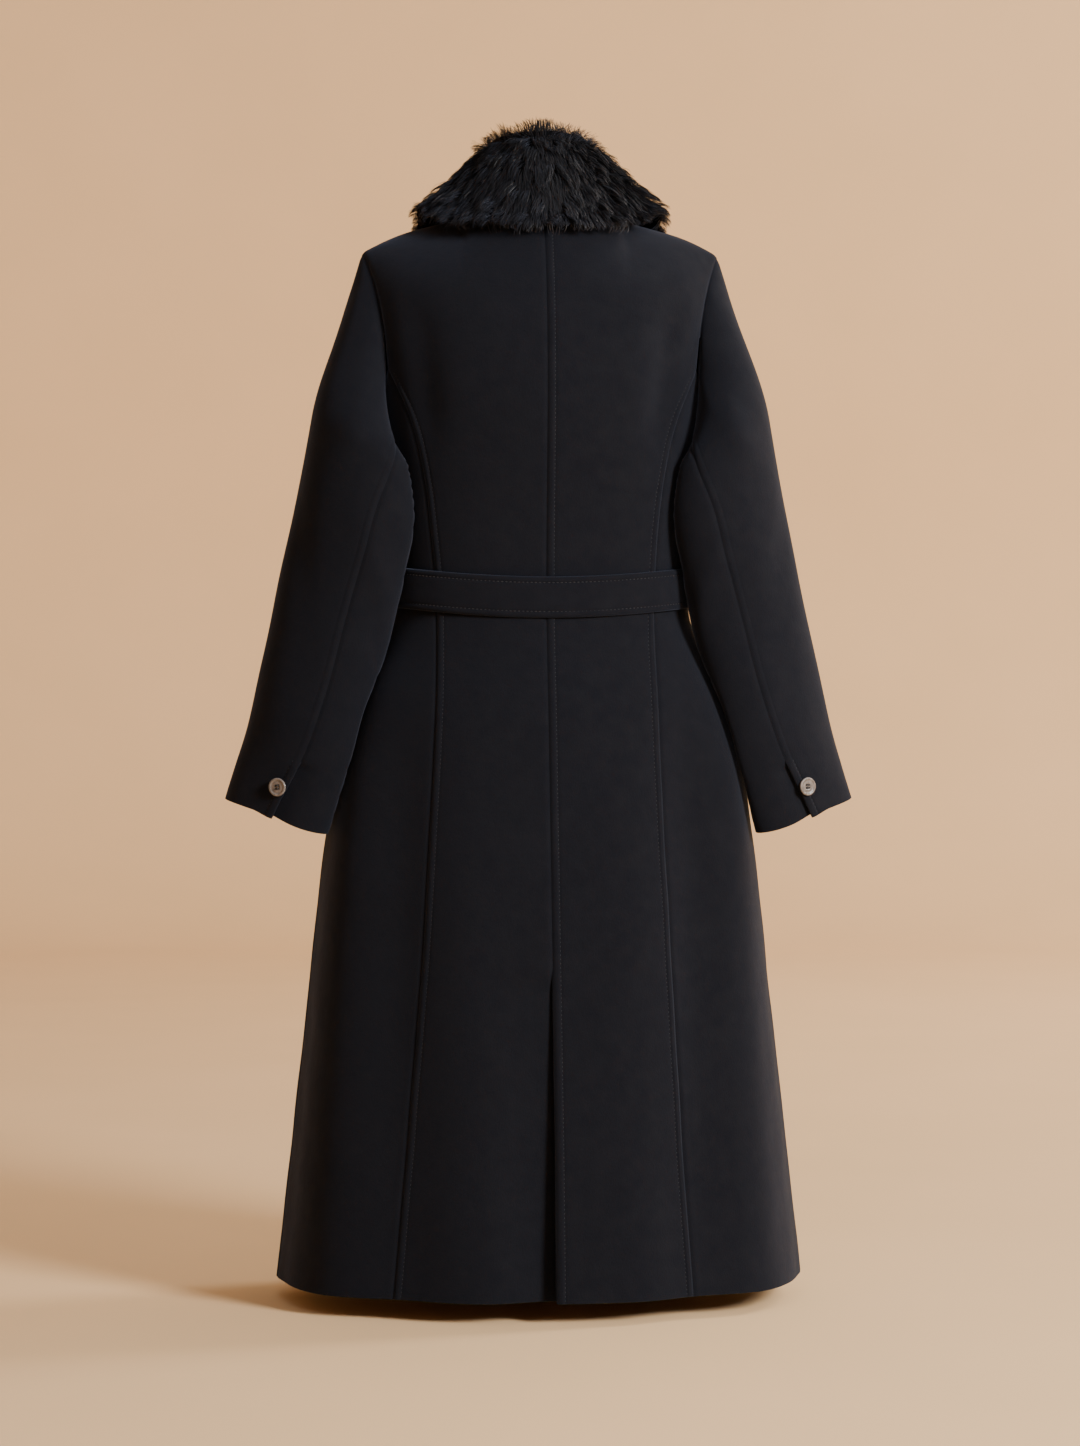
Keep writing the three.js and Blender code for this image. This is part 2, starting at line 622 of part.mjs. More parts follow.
// How far past the seam the lap of the cuff's vent is open at a row of the sleeve.
function cuffOpen(j) {
  const at = SLEEVE_STEPS[j - CAP_STEPS.length] ?? 0;
  return at > CUFF.open ? 1 : 0;
}

const moved = (frame, amount) => ({
  point: frame.point.clone().addScaledVector(frame.normal, amount),
  normal: frame.normal,
});

function sleevePanels(side, loop) {
  const { grid, backSeam, frontSeam, count } = sleeveGrid(side, loop);
  const pick = (from, to) => {
    const columns = [];
    for (let i = from; i <= to; i++) columns.push(grid[(i + count) % count]);
    return columns;
  };
  const last = grid[0].length - 1;
  const seamAt = (j) => grid[backSeam][j].point;
  const sides = ['first', 'last', 'foot'];
  // The top sleeve stands over the under sleeve at the cuff, its corner a little lower.
  const top = openSeams(pick(frontSeam, backSeam + count).map((column) => column.map((frame, j) => {
    const near = 1 - smooth(frame.point.distanceTo(seamAt(j)), 0, CUFF.spread);
    const raised = moved(frame, cuffOpen(j) * near * CUFF.lift);
    if (j === last) raised.point.z -= near * CUFF.corner;
    return raised;
  })), sides);
  const under = openSeams(pick(backSeam, frontSeam).map((column) => column.map((frame, j) => {
    const near = 1 - smooth(frame.point.distanceTo(seamAt(j)), 0, CUFF.spread);
    return moved(frame, -cuffOpen(j) * near * CUFF.dip);
  })), sides);
  // Its underlap goes on beneath the top sleeve. Above the vent it has no width.
  const flap = grid[backSeam].map((frame, j) => {
    if (!cuffOpen(j) || !cuffOpen(j - 1)) return under[0][j];
    let i = backSeam;
    let left = CUFF.underlap;
    const pitch = () => grid[i][j].point.distanceTo(grid[i - 1][j].point);
    while (left > pitch()) {
      left -= pitch();
      i--;
    }
    const point = grid[i][j].point.clone().lerp(grid[i - 1][j].point, left / pitch());
    const normal = grid[i][j].normal.clone().lerp(grid[i - 1][j].normal, left / pitch()).normalize();
    return moved({ point, normal }, -CUFF.dip);
  });
  return { top, under: [flap, ...under] };
}

// Fur collar

// One half of the collar from the centre back to its front tip. The stand rises from the neckline
// to the fold, and the fall lies on the shoulders: edge heights under behind: 1 lie on the back.
const COLLAR = table('at neckX neckY neckZ topX topY topZ edgeX edgeZ behind',
  [0, 0, 66, -11.8, 0, 50, 84, 0, -34, 1],
  [1, 37, 60, -10.2, 27, 45, 84, 60, -33, 1],
  [2, 67, 42, -5.9, 47, 31, 82, 104, -29, 1],
  [3, 82, 21, -4, 57, 14, 80, 126, -16.5, 1],
  [4, 87, 5, -2.6, 60, 1, 78, 131, -14.1, 1],
  [5, 85, -10, -2.5, 61, -13, 74, 130, -17.5, 0],
  [6, 80, -28, -10, 61, -32, 64, 133, -36, 0],
  [7, 73, -55, -34, 60, -62, 34, 134, -66, 0],
  [8, 61, -82, -66, 52, -94, -16, 129, -104, 0],
  [9, 46, -103, -104, 42, -122, -68, 114, -146, 0],
  [10, 30, -117, -143, 32, -138, -118, 88, -180, 0],
  [11, 17, -126, -176, 24, -147, -163, 56, -202, 0],
);
const FUR = { lift: 9, stations: 2, seat: 0.5, stand: 7, standShare: 0.3, under: 31.5, centre: 0.35 };
const FUR_APEX = { least: 0.15, most: 0.55 };
const FUR_TIP_SCALES = [0.45, 0.91];

// The section's corners from the neckline over the fold to the edge. Each lies a share of the way
// between two of the section's three points, moved towards the edge and up.
const COLLAR_CORNERS = table('from to share out up',
  ['neck', 'neck', 0, -3, 0.5],
  ['neck', 'top', 0.35, -5, 0],
  ['neck', 'top', 0.7, -6, 0],
  ['top', 'top', 0, -9, 0],
  ['top', 'top', 0, -4.5, 6.3],
  ['top', 'top', 0, 4.5, 6.3],
  ['top', 'top', 0, 9, 0],
  ['top', 'edge', 0.25, 9, 0],
  ['top', 'edge', 0.5, 9, 0],
  ['top', 'edge', 0.75, 9, 0],
  ['edge', 'edge', 0, 6, 4],
  ['edge', 'edge', 0, 2, -4],
  ['edge', 'edge', 0, -10.5, 0],
);

function collarStation(row, side) {
  const neck = new THREE.Vector3(row.neckX, row.neckY, row.neckZ);
  const top = new THREE.Vector3(row.topX, row.topY, row.topZ);
  const round = thetaAt(row.edgeX, row.edgeZ);
  const seat = bodyFrame(row.behind ? round : Math.PI - round, row.edgeZ);
  const edge = seat.point.addScaledVector(seat.normal, FUR.lift);
  for (const point of [neck, top, edge]) point.x *= side;
  return { neck, top, edge };
}

// The collar's section in the plane of its neckline, fold and edge points.
function collarSection({ neck, top, edge }, scale) {
  const width = neck.distanceTo(edge);
  const out = edge.clone().sub(neck).normalize();
  const rise = top.clone().sub(neck);
  const up = rise.clone().addScaledVector(out, -rise.dot(out)).normalize();
  const apex = clamp(1 - FUR.under / width, FUR_APEX.least, FUR_APEX.most);
  const middle = neck.clone().add(edge).multiplyScalar(0.5);
  const moved = (point, along, above) => point.addScaledVector(out, along).addScaledVector(up, above);
  const ends = { neck, top, edge };
  const points = COLLAR_CORNERS.map((corner) => {
    const between = ends[corner.from].clone().lerp(ends[corner.to], corner.share);
    return moved(between, corner.out, corner.up);
  });
  points.push(middle.clone().lerp(top, apex));
  points.push(moved(neck.clone(), Math.min(FUR.stand, width * FUR.standShare), FUR.seat));
  const centre = middle.clone().lerp(top, FUR.centre);
  return points.map((point) => centre.clone().lerp(point, scale));
}

function collarGeometry() {
  const rows = [...COLLAR.slice(1).reverse().map((row) => collarStation(row, -1)),
    ...COLLAR.map((row) => collarStation(row, 1))];
  const curve = (name) => new THREE.CatmullRomCurve3(rows.map((row) => row[name]));
  const curves = { neck: curve('neck'), top: curve('top'), edge: curve('edge') };
  const steps = (rows.length - 1) * FUR.stations;
  const rings = Array.from({ length: steps + 1 }, (_, k) => {
    const t = k / steps;
    const fromTip = Math.min(k, steps - k);
    const scale = FUR_TIP_SCALES[fromTip] ?? 1;
    return collarSection({
      neck: curves.neck.getPoint(t),
      top: curves.top.getPoint(t),
      edge: curves.edge.getPoint(t),
    }, scale);
  });
  return ringGeometry(rings);
}

// Belt

// The belt's middle height round the waist.
function beltZ(theta) {
  const dip = Math.cos(theta) >= 0 ? BELT.backDip : BELT.frontDip;
  return BELT.sideZ - dip * Math.cos(theta) ** 2;
}

// The point over the waist that the belt lies on, so that it spans the hollows beneath.
function beltPoint(theta, z, out) {
  const middle = beltZ(theta);
  const levels = [-1, -0.5, 0, 0.5, 1].map((share) => middle + share * BELT.width / 2);
  const { point, normal } = bodyFrame(theta, middle);
  normal.setZ(0).normalize();
  const reach = Math.max(...levels.map((level) => bodyPoint(theta, level).sub(point).dot(normal)));
  return new THREE.Vector3(point.x, point.y, z).addScaledVector(normal, reach + out);
}

function beltGeometry() {
  const rings = Array.from({ length: BELT.parts }, (_, k) => {
    const theta = rad(k * 360 / BELT.parts);
    const half = BELT.width / 2;
    const middle = beltZ(theta);
    const inside = BELT.lift;
    const outside = BELT.lift + BELT.thick;
    return [
      beltPoint(theta, middle - half, inside),
      beltPoint(theta, middle - half, outside - BELT.edge),
      beltPoint(theta, middle - half + BELT.edge, outside),
      beltPoint(theta, middle + half - BELT.edge, outside),
      beltPoint(theta, middle + half, outside - BELT.edge),
      beltPoint(theta, middle + half, inside),
    ];
  });
  return ringGeometry(rings, true);
}

// The knot lies on the belt at the front.
function knotGeometry() {
  const theta = rad(KNOT.theta);
  const out = BELT.lift + BELT.thick + SEAM_GAP + KNOT.deep / 2 + KNOT_FORM.clear;
  const seat = beltPoint(theta, beltZ(theta), out);
  const geometry = new THREE.SphereGeometry(1, KNOT_FORM.turns, KNOT_FORM.rings);
  geometry.rotateX(Math.PI / 2);
  const positions = geometry.getAttribute('position');
  const square = (value) => Math.sign(value) * Math.abs(value) ** KNOT_FORM.corner;
  for (let i = 0; i < positions.count; i++) {
    const x = square(positions.getX(i)) * KNOT.wide / 2;
    const y = square(positions.getY(i)) * KNOT.deep / 2;
    const z = square(positions.getZ(i)) * KNOT.high / 2;
    const wider = 1 + KNOT_FORM.waist * Math.cos(z * Math.PI / KNOT.high);
    positions.setXYZ(i, x * wider, y, z);
  }
  geometry.rotateY(rad(KNOT.turn));
  geometry.translate(seat.x, seat.y, seat.z);
  geometry.deleteAttribute('uv');
  geometry.deleteAttribute('normal');
  const merged = mergeVertices(geometry, 0.01);
  merged.computeVertexNormals();
  return merged;
}

// The belt's two ends hang from below the knot, each a strip over the front.
const BELT_ENDS = [
  { side: 'left', theta: 172, slant: -8, foot: -700, topLift: 12, lift: 8, wave: -2 },
  { side: 'right', theta: 180, slant: 7, foot: -745, topLift: 18, lift: 14, wave: 3 },
];

function beltEndGrid(end) {
  const across = [-0.5, -0.25, 0, 0.25, 0.5];
  const top = beltZ(rad(KNOT.theta)) - KNOT.high / 2 - KNOT.gap;
  const rows = Array.from({ length: BELT_END.rows + 1 }, (_, j) => lerp(end.foot, top, j / BELT_END.rows));
  return across.map((share) => rows.map((z) => {
    const down = (top - z) / (top - end.foot);
    const width = lerp(KNOT.pinch, 1, smooth(down, 0, BELT_END.widens)) * BELT.width;
    const theta = rad(end.theta + end.slant * down);
    const depth = frontDepth(z);
    const settled = lerp(end.topLift, end.lift, smooth(down, 0, BELT_END.settles));
    const lift = settled + end.wave * Math.sin(down * Math.PI * BELT_END.waves);
    return bodyFrame(theta + share * width / depth, z, lift);
  }));
}

// Buttons

function toSolid(geometry) {
  const bare = geometry.clone();
  bare.deleteAttribute('uv');
  bare.deleteAttribute('normal');
  const merged = mergeVertices(bare, 1e-4);
  return new wasm.Manifold(new wasm.Mesh({
    numProp: 3,
    vertProperties: new Float32Array(merged.getAttribute('position').array),
    triVerts: new Uint32Array(merged.getIndex().array),
  }));
}

function fromSolid(solid) {
  const mesh = solid.getMesh();
  const geometry = new THREE.BufferGeometry();
  geometry.setAttribute('position', new THREE.BufferAttribute(mesh.vertProperties, 3));
  geometry.setIndex(new THREE.BufferAttribute(mesh.triVerts, 1));
  geometry.computeVertexNormals();
  return geometry;
}

// The button's turned outline: distances out from its axis and up from its back.
const BUTTON_PROFILE = table('out up',
  [0, 0], [8.4, 0], [9.7, 0.9], [10, 1.8], [9.5, 2.9], [8.4, 3.2], [7.5, 2.3], [0, 2.3],
);

// A sew-through button with four holes. Its axis is Z and its face looks along +Z.
function buttonGeometry() {
  const { thick, holeRadius, holeRing } = BUTTON;
  const profile = BUTTON_PROFILE.map(({ out, up }) => new THREE.Vector2(out, up));
  const disc = new THREE.LatheGeometry(profile, BUTTON_SIDES.disc).rotateX(Math.PI / 2);
  let solid = toSolid(disc);
  for (const [x, y] of [[1, 1], [-1, 1], [-1, -1], [1, -1]]) {
    const hole = new THREE.CylinderGeometry(holeRadius, holeRadius, thick * 3, BUTTON_SIDES.hole);
    hole.rotateX(Math.PI / 2);
    hole.translate(x * holeRing * Math.SQRT1_2, y * holeRing * Math.SQRT1_2, thick / 2);
    solid = solid.subtract(toSolid(hole));
  }
  return fromSolid(solid);
}

function addButton(name, seat, normal) {
  const mesh = add(name, buttonGeometry(), HORN_FINISH);
  mesh.quaternion.setFromUnitVectors(new THREE.Vector3(0, 0, 1), normal);
  mesh.position.copy(seat).addScaledVector(normal, BUTTON.stand);
}

// The whole coat

const BODY_SEAMS = ['first', 'last', 'top'];
for (const [name, side] of [['left', 1], ['right', -1]]) {
  const centre = backCentre(side);
  const flank = backSide(side);
  const forepart = front(side);
  const openCentre = openSeams(centre, BODY_SEAMS);
  add(`back_centre_${name}`, wallGeometry(side > 0 ? withUnderlap(openCentre) : openCentre));
  add(`back_side_${name}`, wallGeometry(openSeams(flank, BODY_SEAMS)));
  add(`front_${name}`, wallGeometry(openSeams(forepart, ['last', 'top'])));
  const sleeve = sleevePanels(side, armholeLoop(centre, flank, forepart));
  add(`sleeve_${name}_top`, wallGeometry(sleeve.top));
  add(`sleeve_${name}_under`, wallGeometry(sleeve.under));
  const buttonRow = CAP_STEPS.length + SLEEVE_STEPS.indexOf(BUTTON.at);
  const seat = sleeve.top[sleeve.top.length - BUTTON.column][buttonRow];
  addButton(`cuff_button_${name}`, seat.point, seat.normal);
}

add('collar', collarGeometry(), FUR_FINISH);
add('belt', beltGeometry());
add('belt_knot', knotGeometry());
for (const end of BELT_ENDS) add(`belt_end_${end.side}`, wallGeometry(beltEndGrid(end), BELT_END.thick));

export default coat;
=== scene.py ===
"""A long belted wool coat with a fur collar, hollow as worn, seen from behind.

The coat is worked out in millimetres and its meshes are made in metres. The front faces -Y, the back
+Y and the wearer's left is +X. The origin is midway between the shoulders, level with the neck's base.
"""

import bmesh
import bpy
import numpy as np
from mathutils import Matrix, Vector


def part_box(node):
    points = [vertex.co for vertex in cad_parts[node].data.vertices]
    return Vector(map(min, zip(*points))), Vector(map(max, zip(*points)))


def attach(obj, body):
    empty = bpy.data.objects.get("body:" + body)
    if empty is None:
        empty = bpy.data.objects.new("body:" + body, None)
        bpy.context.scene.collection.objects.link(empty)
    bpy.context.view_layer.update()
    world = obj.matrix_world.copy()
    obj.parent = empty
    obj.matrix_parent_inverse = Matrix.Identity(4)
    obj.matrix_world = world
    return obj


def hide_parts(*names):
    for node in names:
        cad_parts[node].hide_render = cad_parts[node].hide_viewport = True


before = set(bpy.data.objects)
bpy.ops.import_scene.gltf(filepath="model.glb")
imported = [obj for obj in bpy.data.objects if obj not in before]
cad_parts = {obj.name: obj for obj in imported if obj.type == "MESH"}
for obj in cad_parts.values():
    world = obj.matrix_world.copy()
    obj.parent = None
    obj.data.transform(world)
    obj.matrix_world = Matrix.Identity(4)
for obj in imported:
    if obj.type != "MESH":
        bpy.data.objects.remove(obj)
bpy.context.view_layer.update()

MM = 0.001
SIDES = (("left", 1), ("right", -1))

# Driving sizes, in millimetres
HEM = -1161.0
CLOTH = 2.4
UNDERARM = -232.0
PRINCESS_TOP = -172.0
NECK_HALF, NECK_DEPTH, NECK_SIDE_Z, NECK_BACK_Z, NECK_RISE = 88.0, 66.0, -3.0, -12.0, 0.25
TIP_Z = -41.0
SHOULDER_ROUND = 95.0
VENT_TOP, VENT_SLOPE, VENT_UNDERLAP = -813.0, 25.0, 40.0
VENT_GAP, VENT_TUCK, VENT_SPREAD, VENT_FLARE = 3.4, 13.0, 75.0, 3.0
VENT_OPEN = VENT_TOP - VENT_SLOPE
OVERLAP_GAP, OVERLAP_NEAR, OVERLAP_FAR = 3.6, 8.0, 38.0
BELT_WIDTH, BELT_THICK, BELT_LIFT, BELT_SIDE_Z = 44.0, 5.0, 1.0, -407.0
BELT_BACK_DIP, BELT_FRONT_DIP = 14.0, 8.0
SEAM_GAP = 0.4
BAND = 8.4
PITCH = 5.6
# Each cloth's slow undulations: the waves' seed, size and height
BODY_RIPPLE, VENT_RIPPLE, SLEEVE_RIPPLE = (11, 95, 0.5), (11, 95, 0.3), (23, 80, 0.6)
BELT_RIPPLE, BELT_END_RIPPLE = (5, 60, 0.4), (31, 50, 0.4)
PRINCESS_FADE = 30


class Rows:
    """A table with named columns, and smooth curves from its first column to each of the others."""

    def __init__(self, names, *rows):
        self.names = names.split()
        self.rows = np.array(sorted(rows), float)

    def __getattr__(self, name):
        x, y = self.rows[:, 0], self.rows[:, self.names.index(name)]
        width = np.diff(x)
        secant = np.diff(y) / width
        inner = (secant[:-1] * width[1:] + secant[1:] * width[:-1]) / (width[:-1] + width[1:])
        slope = np.concatenate([secant[:1], inner, secant[-1:]])

        def curve(at):
            at = np.clip(at, x[0], x[-1])
            i = np.clip(np.searchsorted(x, at, side="right") - 1, 0, len(x) - 2)
            t = (at - x[i]) / width[i]
            s = 1 - t
            ends = s * s * (1 + 2 * t) * y[i] + t * t * (3 - 2 * t) * y[i + 1]
            return ends + width[i] * (t * s * s * slope[i] - t * t * s * slope[i + 1])

        return curve


# The coat's horizontal sections: half width, depth behind and in front, and corner fullness
SECTIONS = Rows(
    "z half back front full",
    (0, 205, 60, 45, 0),
    (-12, 205, 66, 54, 0),
    (-41, 204, 81, 70, 1),
    (-75, 197, 97, 85, 3),
    (-110, 189, 108, 100, 4),
    (-150, 182, 115, 115, 5),
    (-190, 177, 117, 126, 5),
    (-232, 173, 115, 134, 5),
    (-275, 170, 110, 133, 5),
    (-330, 166, 103, 123, 4),
    (-385, 163, 98, 114, 4),
    (-415, 162.5, 97, 111, 3),
    (-442, 165, 98.5, 112, 3),
    (-470, 175, 104, 115, 3),
    (-530, 204, 120, 124, 3),
    (-600, 223, 131, 133, 3),
    (-684, 236, 141, 142, 3),
    (-838, 253.5, 156, 154, 2),
    (-1000, 271, 171, 167, 2),
    (-1161, 288.5, 186, 180, 2),
)
SHOULDER = Rows("x z", (88, -3), (120, -11), (155, -21), (178, -31), (196, -41), (206, -49))
# The back seam from armhole to hem, and how far it leans to the wearer's left
PRINCESS = Rows(
    "z x lean",
    (-172, 167, 0),
    (-215, 148, 0),
    (-270, 132, 0),
    (-340, 122, 0),
    (-415, 117, -1),
    (-531, 119, -1),
    (-637, 124, 0),
    (-779, 132, 1),
    (-974, 146, 4),
    (-1161, 161, 6),
)
ARMHOLE = Rows(
    "z back front",
    (-41, 196, 196),
    (-80, 182, 180),
    (-107, 175, 171),
    (-134, 170, 165),
    (-172, 167, 162),
)
FRONT_EDGE = Rows(
    "z x",
    (-3, -88),
    (-30, -82),
    (-65, -70),
    (-105, -54),
    (-145, -38),
    (-190, -18),
    (-235, 6),
    (-290, 34),
    (-350, 56),
    (-415, 66),
    (-600, 70),
    (-1161, 74),
)
# The soft folds of the skirt and upper back, at angles from the centre back to the wearer's left
FOLD_NAMES = "waist hem width height top full bottom".split()
BELOW_ALL = -5000
FOLDS = (
    (45, 33, 9, -7, -440, -760, BELOW_ALL),
    (-45, -33, 9, -8, -440, -700, BELOW_ALL),
    (64, 54, 11, 6, -440, -700, BELOW_ALL),
    (-64, -52, 10, 7, -440, -640, BELOW_ALL),
    (22, 18, 9, 4, -470, -900, BELOW_ALL),
    (-20, -17, 9, 4, -470, -900, BELOW_ALL),
    (84, 80, 9, -4, -560, -1000, BELOW_ALL),
    (-84, -80, 9, -4, -560, -1000, BELOW_ALL),
    (112, 108, 13, 5, -450, -900, BELOW_ALL),
    (-108, -104, 12, 5, -450, -900, BELOW_ALL),
    (138, 136, 12, -5, -450, -900, BELOW_ALL),
    (-134, -131, 12, -5, -450, -900, BELOW_ALL),
    (-158, -155, 10, 4, -450, -900, BELOW_ALL),
    (46, 46, 8, -5, -70, -150, -300),
    (-46, -46, 8, -6, -70, -150, -300),
)
SLEEVE = Rows(
    "at outer_x outer_y outer_z inner_x inner_y inner_z depth seam",
    (0, 243, -4, -222, 142, 68, -285, 53, 150),
    (1, 258, -4, -288, 139, 68, -335, 51, 129),
    (2, 273, -4, -354, 149, 62, -392, 48, 122),
    (3, 288.5, -4, -424, 166, 56, -458, 44, 118),
    (4, 303.5, -4, -492, 184, 58, -527, 41, 117),
    (5, 318, -4, -556, 203, 61, -592, 37, 113),
    (6, 331, -2, -600, 218, 57, -636, 33, 105),
    (7, 343, 0, -638, 232, 50, -674, 29, 95),
)
SLEEVE_FOLD_NAMES = "at round slant width length height".split()
SLEEVE_FOLDS = (
    (-0.5, 118, -34, 16, 0.9, 4),
    (2.4, 150, 26, 15, 0.8, 3),
    (3.1, 300, 20, 20, 0.7, -4),
    (2.2, 60, 18, 18, 0.9, -2.5),
)
# The directions in which the cloth leaves the armhole, over how far round it starts
CAP_LEAVE = Rows(
    "round out back",
    (0, 0.25, 0),
    (40, 0.5, 0.22),
    (90, 0.3, 0.36),
    (140, -0.32, 0.4),
    (180, 0.1, 0.1),
    (230, 0.2, -0.22),
    (320, 0.5, -0.18),
    (360, 0.25, 0),
)
CAP_DROP, CAP_FROM, CAP_TO, CAP_GAP = -0.8, 120.0, 215.0, 0.8
SLEEVE_AXIS_OUT, SLEEVE_AXIS_DOWN = 0.225, -0.974
REST_GAP, REST_BELT, REST_REACH, REST_SOFT = 5.0, 5.5, 46.0, 4.0
CUFF_OPEN, CUFF_LIFT, CUFF_DIP, CUFF_SPREAD, CUFF_UNDERLAP, CUFF_CORNER = 5.4, 1.2, 3.6, 26.0, 22.0, 3.0


def lerp(a, b, t):
    return a + (b - a) * t


def smooth(x, low, high):
    t = np.clip((x - low) / (high - low), 0, 1)
    return t * t * (3 - 2 * t)


def unit(v):
    return v / np.maximum(np.linalg.norm(v, axis=-1, keepdims=True), 1e-9)


def fold_height(degrees, z):
    total = np.zeros(np.broadcast(degrees, z).shape)
    along = np.clip((z - BELT_SIDE_Z) / (HEM - BELT_SIDE_Z), 0, 1)
    for row in FOLDS:
        fold = dict(zip(FOLD_NAMES, row))
        away = (degrees - lerp(fold["waist"], fold["hem"], along)) / fold["width"]
        strength = 1 - smooth(z, fold["full"], fold["top"])
        if fold["bottom"] != BELOW_ALL:
            strength = strength * smooth(z, fold["bottom"], fold["bottom"] + 90)
        total = total + fold["height"] * strength * np.exp(-away * away)
    return total


def shoulder_turn(x, z, behind):
    """How much of the depth is left close under the shoulder line, where the cloth turns over."""
    share = np.clip(x / NECK_HALF, 0, 1)
    back_line = NECK_BACK_Z + (NECK_SIDE_Z - NECK_BACK_Z) * share**2
    front_line = NECK_SIDE_Z + (NECK_HALF - x) * NECK_RISE
    by_neck = x < NECK_HALF
    line = np.where(by_neck, np.where(behind, back_line, front_line), SHOULDER.z(x))
    edge = NECK_DEPTH * np.sqrt(1 - share**2)
    wide = np.sqrt(np.clip(1 - (x / SECTIONS.half(back_line)) ** 2, 0.01, 1))
    least = np.where(by_neck & behind, np.minimum(1, edge / (SECTIONS.back(back_line) * wide)), 0)
    t = np.clip((line - z) / SHOULDER_ROUND, 0, 1)
    return least + (1 - least) * np.sqrt(1 - (1 - t) ** 2)


def body_point(theta, z, lift=0.0):
    """A point of the coat's outer surface. theta runs from the centre back to the wearer's left."""
    sine, cosine = np.sin(theta), np.cos(theta)
    half = SECTIONS.half(z)
    behind = cosine >= 0
    depth = np.where(behind, SECTIONS.back(z), SECTIONS.front(z))
    turn = shoulder_turn(np.abs(half * sine), z, behind)
    nx, ny = sine / half, cosine / depth
    size = np.hypot(nx, ny)
    corner = SECTIONS.full(z) * (1 - np.cos(4 * theta)) / 2
    out = (corner + fold_height(np.degrees(theta), z)) * turn + lift
    x = half * sine + nx / size * out
    y = depth * cosine * turn + ny / size * out
    return np.stack(np.broadcast_arrays(x, y, z), axis=-1).astype(float)


def theta_at(x, z):
    return np.arcsin(np.clip(x / SECTIONS.half(z), -1, 1))


def x_of(theta, z):
    return SECTIONS.half(z) * np.sin(theta)


def heights(low, high, pitch=PITCH):
    return np.linspace(low, high, int((high - low) / pitch) + 1)


def hem_rows(high):
    """Rows from the hem up, closer together at the turned edge."""
    return np.concatenate([HEM + np.array([0, 0.8, 2, 3.6]), heights(HEM + 6, high)])


SHOULDER_DROPS = np.array([24, 19, 14.5, 10.5, 7, 4.5, 2.5, 1.1, 0.3, 0])


# Panels, each a grid of points with the columns first


def centre_back_x(z):
    return -5 * (1 - smooth(z, HEM, -420))


def vent_lift(side, x, z):
    """The left half tucks in at the vent, and the right half stands proud over it."""
    opened = 1 - smooth(z, VENT_OPEN, VENT_TOP)
    lower = np.clip((VENT_TOP - z) / (VENT_TOP - HEM), 0, 1)
    past = side * (centre_back_x(z) - x)
    near = 1 - smooth(-past, 0, VENT_SPREAD)
    if side > 0:
        return -opened * near * (VENT_GAP + VENT_TUCK * lower)
    return opened * near * VENT_FLARE * lower


def shoulder_line(x):
    by_neck = NECK_BACK_Z + (NECK_SIDE_Z - NECK_BACK_Z) * (x / NECK_HALF) ** 2
    return np.where(x >= NECK_HALF, SHOULDER.z(x), by_neck)


def back_centre(side):
    shares = np.linspace(0, 1, 33)[:, None]
    z = np.concatenate([hem_rows(PRINCESS_TOP), heights(PRINCESS_TOP + PITCH, -70), TIP_Z - SHOULDER_DROPS])
    outer = np.where(z < PRINCESS_TOP + 0.1, PRINCESS.x(z) + side * PRINCESS.lean(z), ARMHOLE.back(z))
    x = lerp(side * centre_back_x(z), outer, shares)
    level = 1 - smooth(TIP_Z - z, 70, 230)
    height = z + (shoulder_line(np.abs(x)) - shoulder_line(outer)) * level
    theta = side * theta_at(x, height)
    return body_point(theta, height, vent_lift(side, x_of(theta, height), height))


def foot_z(share):
    return PRINCESS_TOP + (UNDERARM - PRINCESS_TOP) * np.sin(share * np.pi / 2)


FOOT_SHARES = np.linspace(0, 1, 26)
ELBOW_SHARE, FRONT_SEAM_Z = 0.6, -95.0


def back_side(side):
    shares = FOOT_SHARES[:, None]
    row = hem_rows(PRINCESS_TOP)
    z = HEM + (row - HEM) * (foot_z(shares) - HEM) / (PRINCESS_TOP - HEM)
    inner = theta_at(PRINCESS.x(row) + side * PRINCESS.lean(row), row)
    theta = side * lerp(inner, np.pi / 2, shares)
    return body_point(theta, z, vent_lift(side, x_of(theta, z), z))


def front_foot_theta(z):
    fall = np.clip((PRINCESS_TOP - z) / (PRINCESS_TOP - UNDERARM), 0, 1)
    start = theta_at(ARMHOLE.front(PRINCESS_TOP), PRINCESS_TOP)
    return lerp(start, np.pi / 2, np.arcsin(fall) / (np.pi / 2))


def overlap_lift(side, x, z):
    if side < 0:
        return 0.0
    edge = FRONT_EDGE.x(z)
    return -OVERLAP_GAP * (1 - smooth(x, edge + OVERLAP_NEAR, edge + OVERLAP_FAR))


FRONT_LOW = hem_rows(UNDERARM)
UNDERARM_ROW = len(FRONT_LOW) - 1
FRONT_UPPER = np.concatenate([UNDERARM + np.array([0.8, 3, 6.5, 11, 16.5]), heights(-210, -70)])


def front(side):
    shares = np.linspace(0, 1, 58)[:, None]
    z = np.concatenate([FRONT_LOW, FRONT_UPPER, TIP_Z - SHOULDER_DROPS])
    above = np.where(z < PRINCESS_TOP, front_foot_theta(z), theta_at(ARMHOLE.front(z), z))
    outer = np.where(z > UNDERARM, above, np.pi / 2)
    outer_x = SECTIONS.half(z) * np.sin(outer)
    rise = (shoulder_line(NECK_HALF) - TIP_Z) * smooth(z, -300, TIP_Z)
    theta = lerp(theta_at(-FRONT_EDGE.x(z + rise), z + rise), outer, shares)
    x = SECTIONS.half(z) * np.sin(theta)
    straight = z + rise * (1 - shares)
    followed = z + SHOULDER.z(np.maximum(NECK_HALF, x)) - SHOULDER.z(outer_x)
    height = lerp(straight, followed, smooth(z, -140, TIP_Z))
    turned = side * (np.pi - theta_at(x, height))
    return body_point(turned, height, overlap_lift(side, x_of(turned, height), height))


